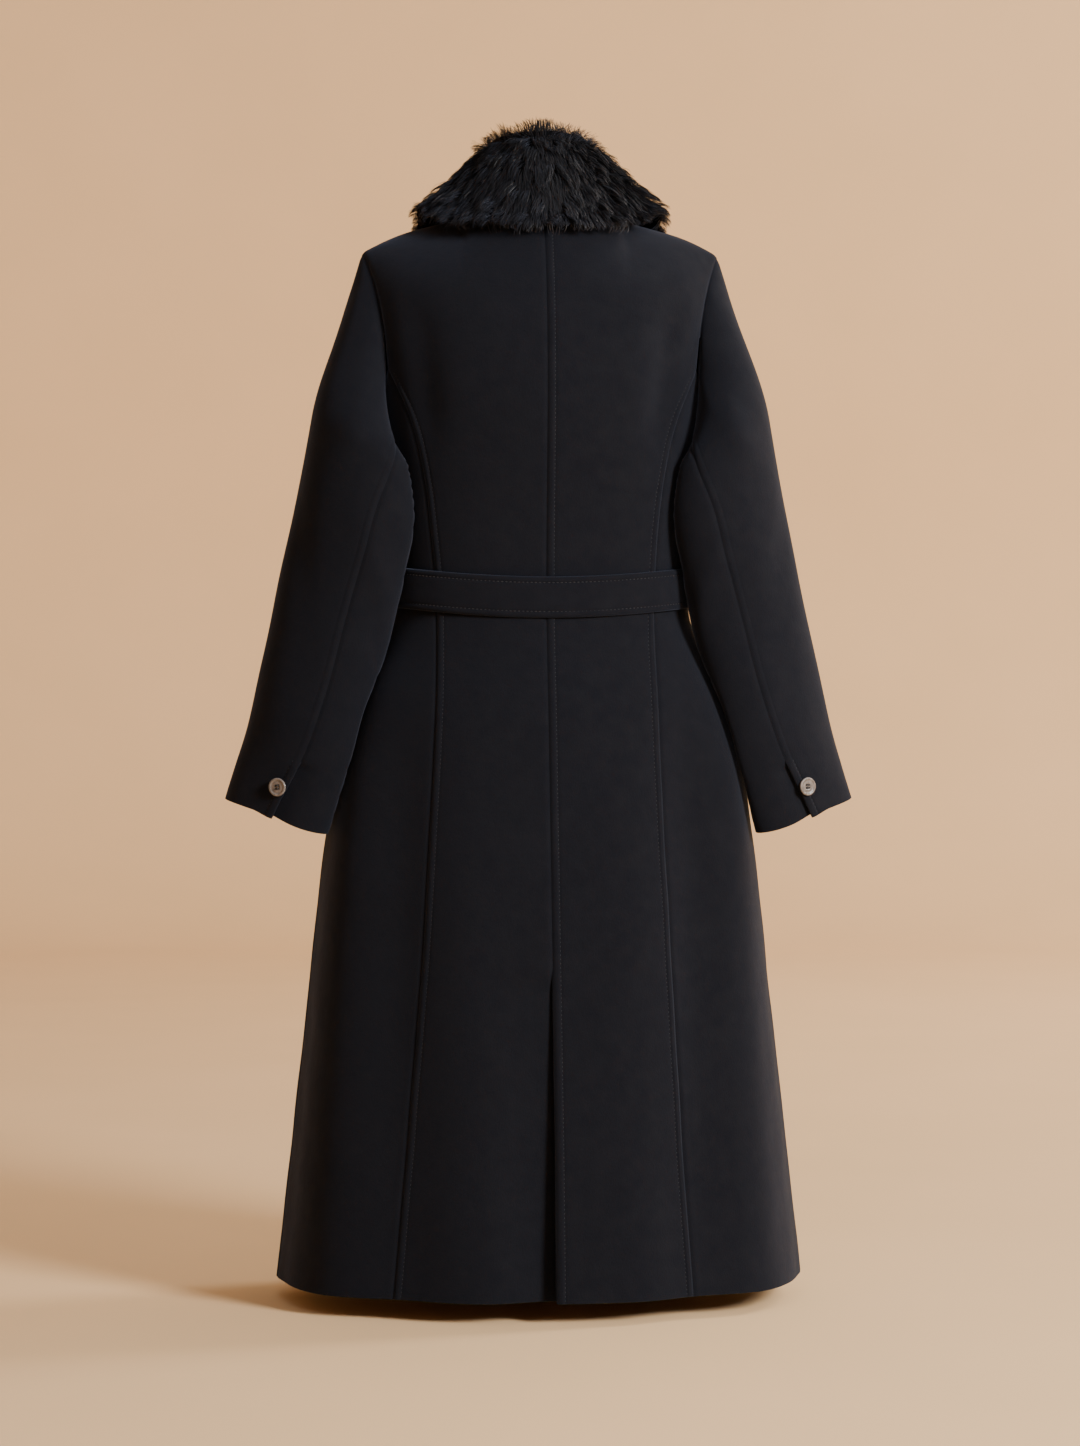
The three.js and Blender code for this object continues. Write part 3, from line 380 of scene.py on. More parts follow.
# Sleeves


def sleeve_fold(degrees, at):
    total = 0.0
    for row in SLEEVE_FOLDS:
        fold = dict(zip(SLEEVE_FOLD_NAMES, row))
        along = (at - fold["at"]) / fold["length"]
        away = (degrees - fold["round"] - fold["slant"] * along) / fold["width"]
        total = total + fold["height"] * np.exp(-away * away - along * along)
    return total


def rest_gap(z):
    from_belt = (z - BELT_SIDE_Z + BELT_BACK_DIP / 2) / REST_REACH
    return REST_GAP + REST_BELT * np.exp(-(from_belt**4))


def beside_body(points, clearance):
    """Moves points of the sleeve out of the body, to lie beside it with a small clearance."""
    x, y, z = points[..., 0], points[..., 1], points[..., 2]
    half = SECTIONS.half(z)
    depth = np.where(y >= 0, SECTIONS.back(z), SECTIONS.front(z))
    theta = np.arctan2(x / half, y / depth)
    normal = unit(np.stack([np.sin(theta) / half, np.cos(theta) / depth, np.zeros_like(theta)], -1))
    away = ((points - body_point(theta, z)) * normal).sum(-1) - clearance
    push = (np.sqrt(away**2 + REST_SOFT**2) - away) / 2
    return points + normal * push[..., None]


def armhole_loop(grids):
    """The armhole's seam as one loop from the shoulder down the back and up the front, with the
    body's normals there and the places of the elbow seam, the underarm and the front seam."""
    column = grids[0][-1][::-1]
    upper = np.argmin(np.abs(column[:, 2] - PRINCESS_TOP)) + 1

    def along_loop(centre, flank, forepart):
        back, foot = centre[-1][::-1][:upper], flank[1:, -1]
        return np.concatenate([back, foot, forepart[-1][UNDERARM_ROW + 1 : -1]])

    loop = along_loop(*grids)
    normals = along_loop(*(grid_normals(grid, from_axis(grid)) for grid in grids))
    elbow = upper - 1 + int(np.argmin(np.abs(FOOT_SHARES - ELBOW_SHARE)))
    underarm = upper + len(FOOT_SHARES) - 2
    front_seam = underarm + 1 + int(np.argmin(np.abs(loop[underarm + 1 :, 2] - FRONT_SEAM_Z)))
    return loop, normals, elbow, underarm, front_seam


CAP_SHARES = np.concatenate([[0, 0.015, 0.04, 0.08], np.linspace(0.13, 1, 24)])
CUFF_ENDS = np.array([0.04, 0.08, 0.12, 0.15, 0.175, 0.19, 0.2])
SLEEVE_ATS = np.concatenate([np.linspace(0, 6.8, 84)[1:], 6.8 + CUFF_ENDS])
SLEEVE_ROWS_AT = np.concatenate([np.full(len(CAP_SHARES), -1.0), SLEEVE_ATS])


def sleeve_grid(side, loop, elbow, underarm):
    """The sleeve as columns round it, each from the armhole to the cuff."""
    count = len(loop)
    steps = np.linalg.norm(np.roll(loop, -1, axis=0) - loop, axis=1)
    lengths = np.concatenate([[0], np.cumsum(steps)])
    i = np.arange(count)

    def share(a, b):
        return (lengths[i] - lengths[a]) / (lengths[b] - lengths[a])

    def round_of(seam):
        below = lerp(seam, 180, share(elbow, underarm))
        before = 180 + 180 * share(underarm, count)
        return np.where(i <= elbow, seam * share(0, elbow), np.where(i <= underarm, below, before))

    def section(at):
        value = {name: getattr(SLEEVE, name)(np.array(at)) for name in SLEEVE.names[1:]}
        outer = np.array([side * value["outer_x"], value["outer_y"], value["outer_z"]])
        inner = np.array([side * value["inner_x"], value["inner_y"], value["inner_z"]])
        middle, half = (outer + inner) / 2, (outer - inner) / 2
        behind = unit(np.cross(half, [side * SLEEVE_AXIS_OUT, 0, SLEEVE_AXIS_DOWN])) * side
        degrees = round_of(value["seam"])
        angle = np.radians(degrees)[:, None]
        points = middle + half * np.cos(angle) + behind * value["depth"] * np.sin(angle)
        points = points + unit(points - middle) * sleeve_fold(degrees, at)[:, None]
        return beside_body(points, rest_gap(points[:, 2]))

    end = section(0.0)
    arrive = unit(section(0.25) - end)
    reach = np.linalg.norm(loop - end, axis=1)[:, None]
    starts = round_of(SLEEVE.rows[0, -1])
    drop = np.full(count, CAP_DROP)
    leave = unit(np.stack([side * CAP_LEAVE.out(starts), CAP_LEAVE.back(starts), drop], -1))
    rows = []
    for t in CAP_SHARES:
        s = 1 - t
        points = loop * s * s * (1 + 2 * t) + end * t * t * (3 - 2 * t)
        points = points + leave * t * s * s * reach - arrive * t * t * s * reach
        low = smooth(-points[:, 2], CAP_FROM, CAP_TO)[:, None]
        rested = beside_body(points, lerp(CAP_GAP, REST_GAP, t))
        rows.append(points if t == 0 else lerp(points, rested, low))
    rows += [section(at) for at in SLEEVE_ATS]
    return np.stack(rows, axis=1)


# Cloth

SEAM_STEPS = np.array([0, 0.8, 1.8, 3.2, 5.2, 7.4, BAND, 9.4, 11.5])
STITCH_COLUMN = 6


def respace(points, pitch=PITCH):
    """Spaces the columns anew, close together beside both edges, where the seams and stitches are.
    Also gives each point's distance from the first and from the last column."""
    steps = np.linalg.norm(np.diff(points, axis=0), axis=-1)
    walked = np.concatenate([np.zeros((1, points.shape[1])), np.cumsum(steps, axis=0)])
    width = walked[-1]
    count = max(4, int(width.max() / pitch) - 2)
    new, first = [], []
    for j in range(points.shape[1]):
        edge = SEAM_STEPS * min(1, width[j] / (2.6 * SEAM_STEPS[-1]))
        middle = np.linspace(edge[-1], width[j] - edge[-1], count)[1:-1]
        at = np.concatenate([edge, middle, width[j] - edge[::-1]])
        first.append(at)
        new.append(np.stack([np.interp(at, walked[:, j], points[:, j, k]) for k in range(3)], -1))
    first = np.stack(first, axis=1)
    return np.stack(new, axis=1), first, width - first


def grid_normals(points, towards):
    """The normals of a grid, on the side that a rough direction for the whole grid points to."""
    across, along = np.gradient(points, axis=0), np.gradient(points, axis=1)
    normals = unit(np.cross(across, along))
    return normals if (normals * towards).sum() > 0 else -normals


def from_axis(points):
    return points * np.array([1, 1, 0])


def ripple(points, seed, size, height):
    """Slow, uneven undulations of the cloth, as waves in many directions."""
    waves = np.random.default_rng(seed)
    total = np.zeros(points.shape[:-1])
    for _ in range(10):
        direction = unit(waves.normal(size=3)) * 2 * np.pi / (size * waves.uniform(0.6, 1.7))
        total += np.sin(points @ direction + waves.uniform(0, 2 * np.pi))
    return total * height / 3.2


def seam_dip(distance, depth=1.2, reach=2.4):
    return -depth * np.exp(-((distance / reach) ** 2))


STITCH_GROOVE, STITCH_GROOVE_WIDTH = 0.7, 0.9


def stitch_groove(distance):
    return -STITCH_GROOVE * np.exp(-(((distance - BAND) / STITCH_GROOVE_WIDTH) ** 2))


def stitched_band(distance, height=0.8):
    """A seam's allowances raise a band beside it, which ends in the groove of a row of stitches."""
    raised = height * smooth(distance, 0.2, 1.8) * (1 - smooth(distance, BAND - 1.2, BAND + 0.6))
    return raised + stitch_groove(distance)


def make_mesh(name, vertices, faces):
    mesh = bpy.data.meshes.new(name)
    faces = faces.tolist() if isinstance(faces, np.ndarray) else faces
    mesh.from_pydata((np.asarray(vertices) * MM).tolist(), [], faces)
    mesh.polygons.foreach_set("use_smooth", [True] * len(mesh.polygons))
    piece = bpy.data.objects.new(name, mesh)
    bpy.context.scene.collection.objects.link(piece)
    return piece


def close_up(piece, size=0):
    """Caps both ends of a swept form, of so many points each, and turns all faces outwards."""
    mesh = bmesh.new()
    mesh.from_mesh(piece.data)
    if size:
        mesh.verts.ensure_lookup_table()
        for ring in (mesh.verts[:size], mesh.verts[-size:]):
            mesh.faces.new(ring).smooth = True
    bmesh.ops.recalc_face_normals(mesh, faces=mesh.faces)
    mesh.to_mesh(piece.data)
    mesh.free()


def ring_faces(count, size, closed=False):
    """The faces between rings of points, which may join up."""
    i, j = np.meshgrid(np.arange(count if closed else count - 1), np.arange(size), indexing="ij")
    following, turned = (i + 1) % count, (j + 1) % size
    faces = [i * size + j, i * size + turned, following * size + turned, following * size + j]
    return np.stack(faces, -1).reshape(-1, 4)


def swept(name, rings, closed=False):
    """A closed form through rings of points, which join up or end in caps."""
    count, size = rings.shape[:2]
    piece = make_mesh(name, rings.reshape(-1, 3), ring_faces(count, size, closed))
    close_up(piece, 0 if closed else size)
    return piece


def dress(piece, material, node=None):
    """Gives a piece its material and body, and hides the node that it stands for."""
    piece.data.materials.append(material)
    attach(piece, "root")
    if node:
        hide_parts(node)


def wall(name, outer, normals, relief=0.0, thickness=CLOTH):
    """A thin shell of cloth: an outer grid with its relief, a plain inner one, and rounded rims."""
    columns, rows = outer.shape[:2]
    face = outer + normals * np.broadcast_to(relief, outer.shape[:2])[..., None]
    inner = outer - normals * thickness
    i, j = columns // 2, rows // 2
    across, along = outer[i + 1, j] - outer[i, j], outer[i, j + 1] - outer[i, j]
    facing = np.dot(np.cross(across, along), normals[i, j]) > 0
    i, j = np.meshgrid(np.arange(columns - 1), np.arange(rows - 1), indexing="ij")
    a = (i * rows + j).ravel()
    quads = np.stack([a, a + rows, a + rows + 1, a + 1], -1)
    under = columns * rows
    last = under - rows
    border = np.concatenate([
        np.arange(0, last, rows),
        np.arange(last, last + rows - 1),
        np.arange(last + rows - 1, rows - 1, -rows),
        np.arange(rows - 1, 0, -1),
    ])
    points = np.concatenate([face.reshape(-1, 3), inner.reshape(-1, 3)])
    outline, lining = points[border], points[border + under]
    tangent = np.roll(outline, -1, axis=0) - np.roll(outline, 1, axis=0)
    out = unit(np.cross(tangent, outline - lining)) * (1 if facing else -1)
    middle = (outline + lining) / 2 + out * thickness * 0.3
    rim = np.arange(len(border)) + 2 * under
    following, next_rim = np.roll(border, -1), np.roll(rim, -1)
    upper = np.stack([following, border, rim, next_rim], -1)
    lower = np.stack([next_rim, rim, border + under, following + under], -1)
    faces = np.concatenate([quads, quads[:, ::-1] + under, upper, lower])
    if not facing:
        faces = faces[:, ::-1]
    return make_mesh(name, np.concatenate([points, middle]), faces)


def area_of(points):
    across, along = points[1:, :-1] - points[:-1, :-1], points[:-1, 1:] - points[:-1, :-1]
    return np.linalg.norm(np.cross(across, along), axis=-1).sum() * MM * MM


def cut_of(points):
    """The width and length that a piece was cut to, measured along the cloth, in metres."""
    width = np.linalg.norm(np.diff(points, axis=0), axis=-1).sum(0).max()
    length = np.linalg.norm(np.diff(points, axis=1), axis=-1).sum(1).max()
    return float(round(width * MM, 3)), float(round(length * MM, 3))


def finish_cloth(piece, points, node=None):
    """Gives a cloth piece its material and hides its node. Also measures its cut, which is not kept."""
    dress(piece, WOOL, node)
    width, length = cut_of(points)
    area = min(area_of(points), width * length)


def make_panel(name, points, normals, relief, thickness=CLOTH):
    """The cloth of one node."""
    finish_cloth(wall(f"{name}_cloth", points, normals, relief, thickness), points, name)
    return points, normals, relief


STITCH_LENGTH, STITCH_SPACE, STITCH_WIDTH, STITCH_HEIGHT = 3.4, 1.1, 0.55, 0.45


def stitch_row(points, normals):
    """Small stitches end to end along a line on the cloth, as vertices and faces."""
    steps = np.linalg.norm(np.diff(points, axis=0), axis=-1)
    walked = np.concatenate([[0], np.cumsum(steps)])
    starts = np.arange(STITCH_SPACE, walked[-1] - STITCH_LENGTH, STITCH_LENGTH + STITCH_SPACE)

    def at(distance, values):
        return np.stack([np.interp(distance, walked, values[:, k]) for k in range(3)], -1)

    a, b = at(starts, points), at(starts + STITCH_LENGTH, points)
    middle, up = (a + b) / 2, unit(at(starts + STITCH_LENGTH / 2, normals))
    sideways = unit(np.cross(up, b - a)) * STITCH_WIDTH
    raised = up * STITCH_HEIGHT
    sunk = raised * 0.6
    corners = [a - sunk, middle + raised, middle + sideways, middle - raised, middle - sideways, b - sunk]
    vertices = np.stack(corners, axis=1).reshape(-1, 3)
    shape = np.array([(0, 2, 1), (0, 3, 2), (0, 4, 3), (0, 1, 4),
                      (5, 1, 2), (5, 2, 3), (5, 3, 4), (5, 4, 1)])
    faces = (shape[None] + 6 * np.arange(len(starts))[:, None, None]).reshape(-1, 3)
    return vertices, faces


SEWING = []


def sew(points, normals, relief=0.0):
    """Keeps a row of stitches for the one piece that holds them all."""
    SEWING.append(stitch_row(points + normals * np.reshape(relief, (-1, 1)), normals))


def sew_column(panel, column, rows=slice(None)):
    sew(*(values[column][rows] for values in panel))


def sewing_piece():
    vertices, faces, count = [], [], 0
    for row_vertices, row_faces in SEWING:
        vertices.append(row_vertices)
        faces.append(row_faces + count)
        count += len(row_vertices)
    dress(make_mesh("stitches", np.concatenate(vertices), np.concatenate(faces)), THREAD)


# Materials


def new_material(name):
    material = bpy.data.materials.new(name)
    material.use_nodes = True
    tree = material.node_tree
    return material, tree, tree.nodes["Principled BSDF"]


def set_inputs(shader, values):
    for name, value in values.items():
        shader.inputs[name].default_value = value


def object_noise(tree, scale, detail=3.0, roughness=0.6, stretch=(1, 1, 1)):
    place = tree.nodes.new("ShaderNodeTexCoord")
    turn = tree.nodes.new("ShaderNodeMapping")
    turn.inputs["Scale"].default_value = stretch
    noise = tree.nodes.new("ShaderNodeTexNoise")
    noise.inputs["Scale"].default_value = scale
    noise.inputs["Detail"].default_value = detail
    noise.inputs["Roughness"].default_value = roughness
    tree.links.new(place.outputs["Object"], turn.inputs["Vector"])
    tree.links.new(turn.outputs["Vector"], noise.inputs["Vector"])
    return noise.outputs["Fac"]


def ramp(tree, fac, *stops):
    node = tree.nodes.new("ShaderNodeValToRGB")
    elements = node.color_ramp.elements
    while len(elements) < len(stops):
        elements.new(0.5)
    for element, (position, colour) in zip(elements, stops):
        element.position = position
        element.color = (*colour, 1)
    tree.links.new(fac, node.inputs["Fac"])
    return node.outputs["Color"]


def bump(tree, shader, height, strength, distance, below=None):
    node = tree.nodes.new("ShaderNodeBump")
    node.inputs["Strength"].default_value = strength
    node.inputs["Distance"].default_value = distance
    tree.links.new(height, node.inputs["Height"])
    if below is not None:
        tree.links.new(below, node.inputs["Normal"])
    tree.links.new(node.outputs["Normal"], shader.inputs["Normal"])
    return node.outputs["Normal"]


def wool_material():
    """Milled wool with a short, soft nap."""
    material, tree, shader = new_material("wool_melton")
    grain = object_noise(tree, 900, 4, 0.7)
    colour = ramp(tree, grain, (0.3, (0.0022, 0.0028, 0.0050)), (0.7, (0.0050, 0.0060, 0.0100)))
    tree.links.new(colour, shader.inputs["Base Color"])
    matt = ramp(tree, object_noise(tree, 60), (0.3, (0.86,) * 3), (0.7, (0.98,) * 3))
    tree.links.new(matt, shader.inputs["Roughness"])
    set_inputs(shader, {"Sheen Weight": 0.12, "Sheen Roughness": 0.45,
                        "Sheen Tint": (0.46, 0.58, 0.92, 1), "Specular IOR Level": 0.12})
    soft = bump(tree, shader, object_noise(tree, 70, 2), 0.22, 0.0014)
    bump(tree, shader, object_noise(tree, 700, 4, 0.7, (1, 1, 0.55)), 0.5, 0.0005, soft)
    return material


def noisy_material(name, noise, edge, dark, pale, roughness, specular=0.5):
    """One colour that wanders into another with a noise."""
    material, tree, shader = new_material(name)
    colour = ramp(tree, object_noise(tree, *noise), (edge, dark), (1 - edge, pale))
    tree.links.new(colour, shader.inputs["Base Color"])
    set_inputs(shader, {"Roughness": roughness, "Specular IOR Level": specular})
    return material


def fur_material():
    """Dark fur whose tips carry a painted highlight, lighter and a little blue."""
    material, tree, shader = new_material("fur_strands")
    tone_and_highlight = tree.nodes.new("ShaderNodeAttribute")
    tone_and_highlight.attribute_name = "tone_and_highlight"
    # From the dark root to a painted bluish highlight at the tip
    colour = ramp(tree, tone_and_highlight.outputs["Fac"], (0.0, (0.0012, 0.0015, 0.0024)),
                  (0.5, (0.0042, 0.0050, 0.0094)), (1.0, (0.027, 0.032, 0.052)))
    tree.links.new(colour, shader.inputs["Base Color"])
    set_inputs(shader, {"Sheen Weight": 0.12, "Sheen Tint": (0.6, 0.7, 1.0, 1), "Roughness": 0.55,
                        "Specular IOR Level": 0.35})
    return material


def horn_material():
    """Grey-brown horn, clouded and satin."""
    material, tree, shader = new_material("button_horn")
    cloud = object_noise(tree, 260, 4, 0.65, (1, 1, 0.4))
    colour = ramp(tree, cloud, (0.25, (0.055, 0.047, 0.043)), (0.5, (0.13, 0.115, 0.108)),
                  (0.8, (0.24, 0.22, 0.21)))
    tree.links.new(colour, shader.inputs["Base Color"])
    set_inputs(shader, {"Roughness": 0.34, "Coat Weight": 0.25})
    bump(tree, shader, object_noise(tree, 900, 2), 0.12, 0.0002)
    return material


WOOL = wool_material()
FUR = fur_material()
HORN = horn_material()
THREAD = noisy_material("sewing_thread", (1500, 2), 0.3, (0.006, 0.006, 0.008), (0.016, 0.015, 0.019), 0.6)
# The collar's core, nearly black: painted shade for the depth between the fur's strands
FUR_CORE_SHADE = noisy_material(
    "fur_core_painted_shade", (500,), 0.3, (0.0006, 0.0008, 0.0013), (0.0014, 0.0018, 0.0028), 0.8, 0.05)
PAPER = noisy_material("backdrop_paper", (2.2, 2), 0.2, (0.70, 0.484, 0.268), (0.735, 0.508, 0.285), 0.9)


# Body panels


def make_body(side_name, side):
    grids = back_centre(side), back_side(side), front(side)
    stitched = -1 - STITCH_COLUMN
    for part, grid in zip(("back_centre", "back_side", "front"), grids):
        points, first, last = respace(grid)
        normals = grid_normals(points, from_axis(points))
        banded = part == "front" or (part == "back_centre" and side < 0)
        relief = seam_dip(last) + ripple(points, *BODY_RIPPLE)
        if part != "front":
            relief = relief + seam_dip(first)
        if banded:
            relief = relief + stitched_band(first)
        if part == "back_centre":
            fading = 1 - smooth(points[..., 2], PRINCESS_TOP - PRINCESS_FADE, PRINCESS_TOP)
            relief = relief + stitched_band(last) * fading
        panel = make_panel(f"{part}_{side_name}", points, normals, relief)
        if part == "back_centre":
            sew_column(panel, stitched, points[stitched, :, 2] < PRINCESS_TOP)
        if banded:
            sew_column(panel, STITCH_COLUMN)
    return armhole_loop(grids)


def make_vent_underlap():
    """The part of the left back that lies under the right one, from the vent's top to the hem."""
    z = hem_rows(VENT_OPEN)
    x = centre_back_x(z) - np.linspace(0.6, VENT_UNDERLAP, 10)[:, None]
    theta = theta_at(x, z)
    points = body_point(theta, np.broadcast_to(z, theta.shape), vent_lift(1, x_of(theta, z), z))
    normals = grid_normals(points, from_axis(points))
    finish_cloth(wall("vent_underlap_cloth", points, normals, ripple(points, *VENT_RIPPLE)), points)


# Sleeve panels


def from_armhole(points):
    """Each point's distance along the cloth from the armhole."""
    steps = np.linalg.norm(np.diff(points, axis=1), axis=-1)
    return np.concatenate([np.zeros((len(points), 1)), np.cumsum(steps, axis=1)], axis=1)


TAPE_DEPTH, TAPE_RADIUS, TAPE_SIDES = 5.0, 3.6, 8
HEM_SAG, HEM_SAG_WIDTH = 4.0, 75.0
ARMHOLE_DIP, ARMHOLE_REACH, CUFF_BAND = 1.4, 3.4, 0.6
UNDERLAP_COLUMNS = 12


def make_armhole_tape(side_name, loop, normals, grid):
    """The seam's allowances, pressed together inside the armhole."""
    leaving = unit(grid[:, 1] - grid[:, 0])
    along = unit(np.roll(loop, -1, axis=0) - np.roll(loop, 1, axis=0))
    sleeve_normals = unit(np.cross(leaving, along))
    sleeve_normals = sleeve_normals * np.sign((sleeve_normals * normals).sum(-1, keepdims=True))
    inwards = -unit(normals + sleeve_normals)
    middle = loop + inwards * TAPE_DEPTH
    across = unit(np.cross(along, inwards))
    turns = np.arange(TAPE_SIDES) * 2 * np.pi / TAPE_SIDES
    rings = [middle + TAPE_RADIUS * (np.cos(a) * inwards + np.sin(a) * across) for a in turns]
    dress(swept(f"armhole_seam_{side_name}", np.stack(rings, axis=1), closed=True), WOOL)


def make_sleeve(side_name, side, loop, normals, elbow, underarm, front_seam):
    grid = sleeve_grid(side, loop, elbow, underarm)
    make_armhole_tape(side_name, loop, normals, grid)
    count = len(loop)
    opened = smooth(SLEEVE_ROWS_AT, CUFF_OPEN, CUFF_OPEN + 0.2)
    axis = grid.mean(axis=0)

    def panel(columns):
        points, first, last = respace(grid[columns % count])
        return points, first, last, grid_normals(points, points - axis)

    points, first, last, normals = panel(np.arange(front_seam, elbow + count + 1))
    near = 1 - smooth(last, 0, CUFF_SPREAD)
    points = points + normals * (opened * near * CUFF_LIFT)[..., None]
    points[..., 2] -= near * CUFF_CORNER * smooth(SLEEVE_ROWS_AT, 6.5, 7)
    relief = seam_dip(first) + seam_dip(last) * (1 - opened) + ripple(points, *SLEEVE_RIPPLE)
    relief = relief + stitched_band(last, CUFF_BAND) * lerp(0.35, 1, opened)
    relief = relief + seam_dip(from_armhole(points), ARMHOLE_DIP, ARMHOLE_REACH)
    top = make_panel(f"sleeve_{side_name}_top", points, normals, relief)
    sew_column(top, -1 - STITCH_COLUMN, SLEEVE_ROWS_AT > CUFF_OPEN)

    points, first, last, normals = panel(np.arange(elbow, front_seam + 1))
    near = 1 - smooth(first, 0, CUFF_SPREAD)
    points = points - normals * (opened * near * CUFF_DIP)[..., None]
    sag = np.sin(np.pi * np.clip(first / HEM_SAG_WIDTH, 0, 1))
    points[..., 2] -= HEM_SAG * sag * smooth(SLEEVE_ROWS_AT, 6.2, 7)
    relief = seam_dip(first) * (1 - opened) + seam_dip(last) + ripple(points, *SLEEVE_RIPPLE)
    relief = relief + seam_dip(from_armhole(points), ARMHOLE_DIP, ARMHOLE_REACH)
    make_panel(f"sleeve_{side_name}_under", points, normals, relief)

    low = SLEEVE_ROWS_AT > CUFF_OPEN + 0.15
    points, first, _ = respace(grid[np.arange(elbow - UNDERLAP_COLUMNS, elbow + 1) % count][::-1])
    points = points[first[:, -1] < CUFF_UNDERLAP]
    normals = grid_normals(points, points - axis)[:, low]
    points = points[:, low] - normals * CUFF_DIP
    points[0] = points[0] + unit(points[1] - points[0]) * SEAM_GAP
    finish_cloth(wall(f"cuff_underlap_{side_name}_cloth", points, normals), points)
    return top[:2]


# Belt


def belt_z(theta):
    dip = np.where(np.cos(theta) >= 0, BELT_BACK_DIP, BELT_FRONT_DIP)
    return BELT_SIDE_Z - dip * np.cos(theta) ** 2


def belt_point(theta, above, out):
    """A point of the belt at a height above its middle, on the line that spans the waist's hollow."""
    middle = belt_z(theta)
    point = body_point(theta, middle)
    across = body_point(theta + 0.004, middle) - body_point(theta - 0.004, middle)
    normal = unit(np.stack([across[..., 1], -across[..., 0], np.zeros_like(middle)], -1))
    normal = normal * np.sign((normal * from_axis(point)).sum(-1))[..., None]
    levels = [body_point(theta, middle + share * BELT_WIDTH / 2) for share in (-1, -0.5, 0, 0.5, 1)]
    reach = np.max([((level - point) * normal).sum(-1) for level in levels], axis=0)
    moved = point + normal * (reach + out)[..., None]
    moved[..., 2] = middle + above
    return moved, normal


BELT_STITCH, BELT_STITCH_OUT = 15.5, 4.3
BELT_WAVE_HALF, BELT_WAVE_DEEP = 165, 100
# Half of the belt's section: heights above its middle, and how far it stands out
BELT_HALF_SECTION = ((0, 4.8), (6, 4.9), (12, 4.9), (14.4, 4.7), (BELT_STITCH, 4.1), (16.6, 4.8), (18, 5.1),
                     (20, 4.8), (21.4, 3.9), (22, 2.2), (22, 0), (8, 0))


def make_belt():
    theta = np.radians(np.arange(0, 360, 1.0))
    section = [*BELT_HALF_SECTION, *[(-above, out) for above, out in reversed(BELT_HALF_SECTION[1:])]]
    rows = []
    for above, out in section:
        place = np.stack([np.cos(theta) * BELT_WAVE_HALF, np.sin(theta) * BELT_WAVE_DEEP,
                          np.full_like(theta, above)], -1)
        wave = ripple(place, *BELT_RIPPLE) if out > 0 else 0
        rows.append(belt_point(theta, above, BELT_LIFT + out + wave * np.ones_like(theta))[0])
    piece = swept("belt_cloth", np.stack(rows, axis=1), closed=True)
    closed = np.radians(np.arange(0, 361, 1.0))
    face = np.stack([belt_point(closed, above, np.full_like(closed, BELT_LIFT + BELT_THICK))[0]
                     for above in (-BELT_WIDTH / 2, 0, BELT_WIDTH / 2)], axis=1)
    finish_cloth(piece, face, "belt")
    for above in (-BELT_STITCH, BELT_STITCH):
        sew(*belt_point(closed, above, np.full_like(closed, BELT_LIFT + BELT_STITCH_OUT)))


KNOT_STRIP, KNOT_STAND, KNOT_SQUARE = 0.036, 1.5, 0.62
KNOT_THETA, KNOT_WIDE, KNOT_HIGH, KNOT_DEEP, KNOT_TURN, KNOT_GAP, KNOT_PINCH = 176, 30, 36, 15, 12, 1, 0.8


def make_knot():
    """One turn of the belt over itself, drawn tight, with the pull's creases."""
    out = np.array([BELT_LIFT + BELT_THICK + SEAM_GAP + KNOT_DEEP / 2 + KNOT_STAND])
    seat = belt_point(np.radians([KNOT_THETA]), 0.0, out)[0][0]
    turn, rise = np.radians(np.arange(0, 360, 5)), np.radians(np.linspace(-89, 89, 46))
    a, b = np.meshgrid(turn, rise, indexing="ij")

    def square(v):
        return np.sign(v) * np.abs(v) ** KNOT_SQUARE

    x = square(np.cos(b) * np.cos(a)) * KNOT_WIDE / 2
    y = square(np.sin(b)) * KNOT_DEEP / 2
    z = square(np.cos(b) * np.sin(a)) * KNOT_HIGH / 2
    x = x * (1 + 0.12 * np.cos(z * np.pi / KNOT_HIGH))
    crease = 1 - 0.035 * (1 + np.sin(x * 0.55 + z * 0.2)) * np.cos(b)
    tilt = np.radians(KNOT_TURN)
    x, z = x * np.cos(tilt) + z * np.sin(tilt), z * np.cos(tilt) - x * np.sin(tilt)
    grid = seat + np.stack([x, y, z], -1) * crease[..., None]
    piece = swept("belt_knot_cloth", grid.transpose(1, 0, 2))
    dress(piece, WOOL, "belt_knot")


BELT_END_NAMES = "theta slant foot top_lift lift wave".split()
BELT_END_THICK, BELT_END_PITCH = 4.0, 4
BELT_ENDS = {"left": (172, -8, -700, 12, 8, -2), "right": (180, 7, -745, 18, 14, 3)}


def make_belt_end(side_name):
    end = dict(zip(BELT_END_NAMES, BELT_ENDS[side_name]))
    top = float(belt_z(np.radians(KNOT_THETA))) - KNOT_HIGH / 2 - KNOT_GAP
    z = np.concatenate([end["foot"] + np.array([0, 0.8, 2]), heights(end["foot"] + 4, top, 5)])
    down = (top - z) / (top - end["foot"])
    width = lerp(KNOT_PINCH, 1, smooth(down, 0, 0.35)) * BELT_WIDTH
    settled = lerp(end["top_lift"], end["lift"], smooth(down, 0, 0.15))
    lift = settled + end["wave"] * np.sin(down * np.pi * 1.6)
    share = np.linspace(-0.5, 0.5, 15)[:, None]
    theta = np.radians(end["theta"] + end["slant"] * down) + share * width / SECTIONS.front(z)
    points, first, last = respace(body_point(theta, np.broadcast_to(z, theta.shape), lift), BELT_END_PITCH)
    normals = grid_normals(points, from_axis(points))
    relief = stitch_groove(np.minimum(first, last)) + ripple(points, *BELT_END_RIPPLE)
    panel = make_panel(f"belt_end_{side_name}", points, normals, relief, BELT_END_THICK)
    for column in (STITCH_COLUMN, -1 - STITCH_COLUMN):
        sew_column(panel, column)


# Collar

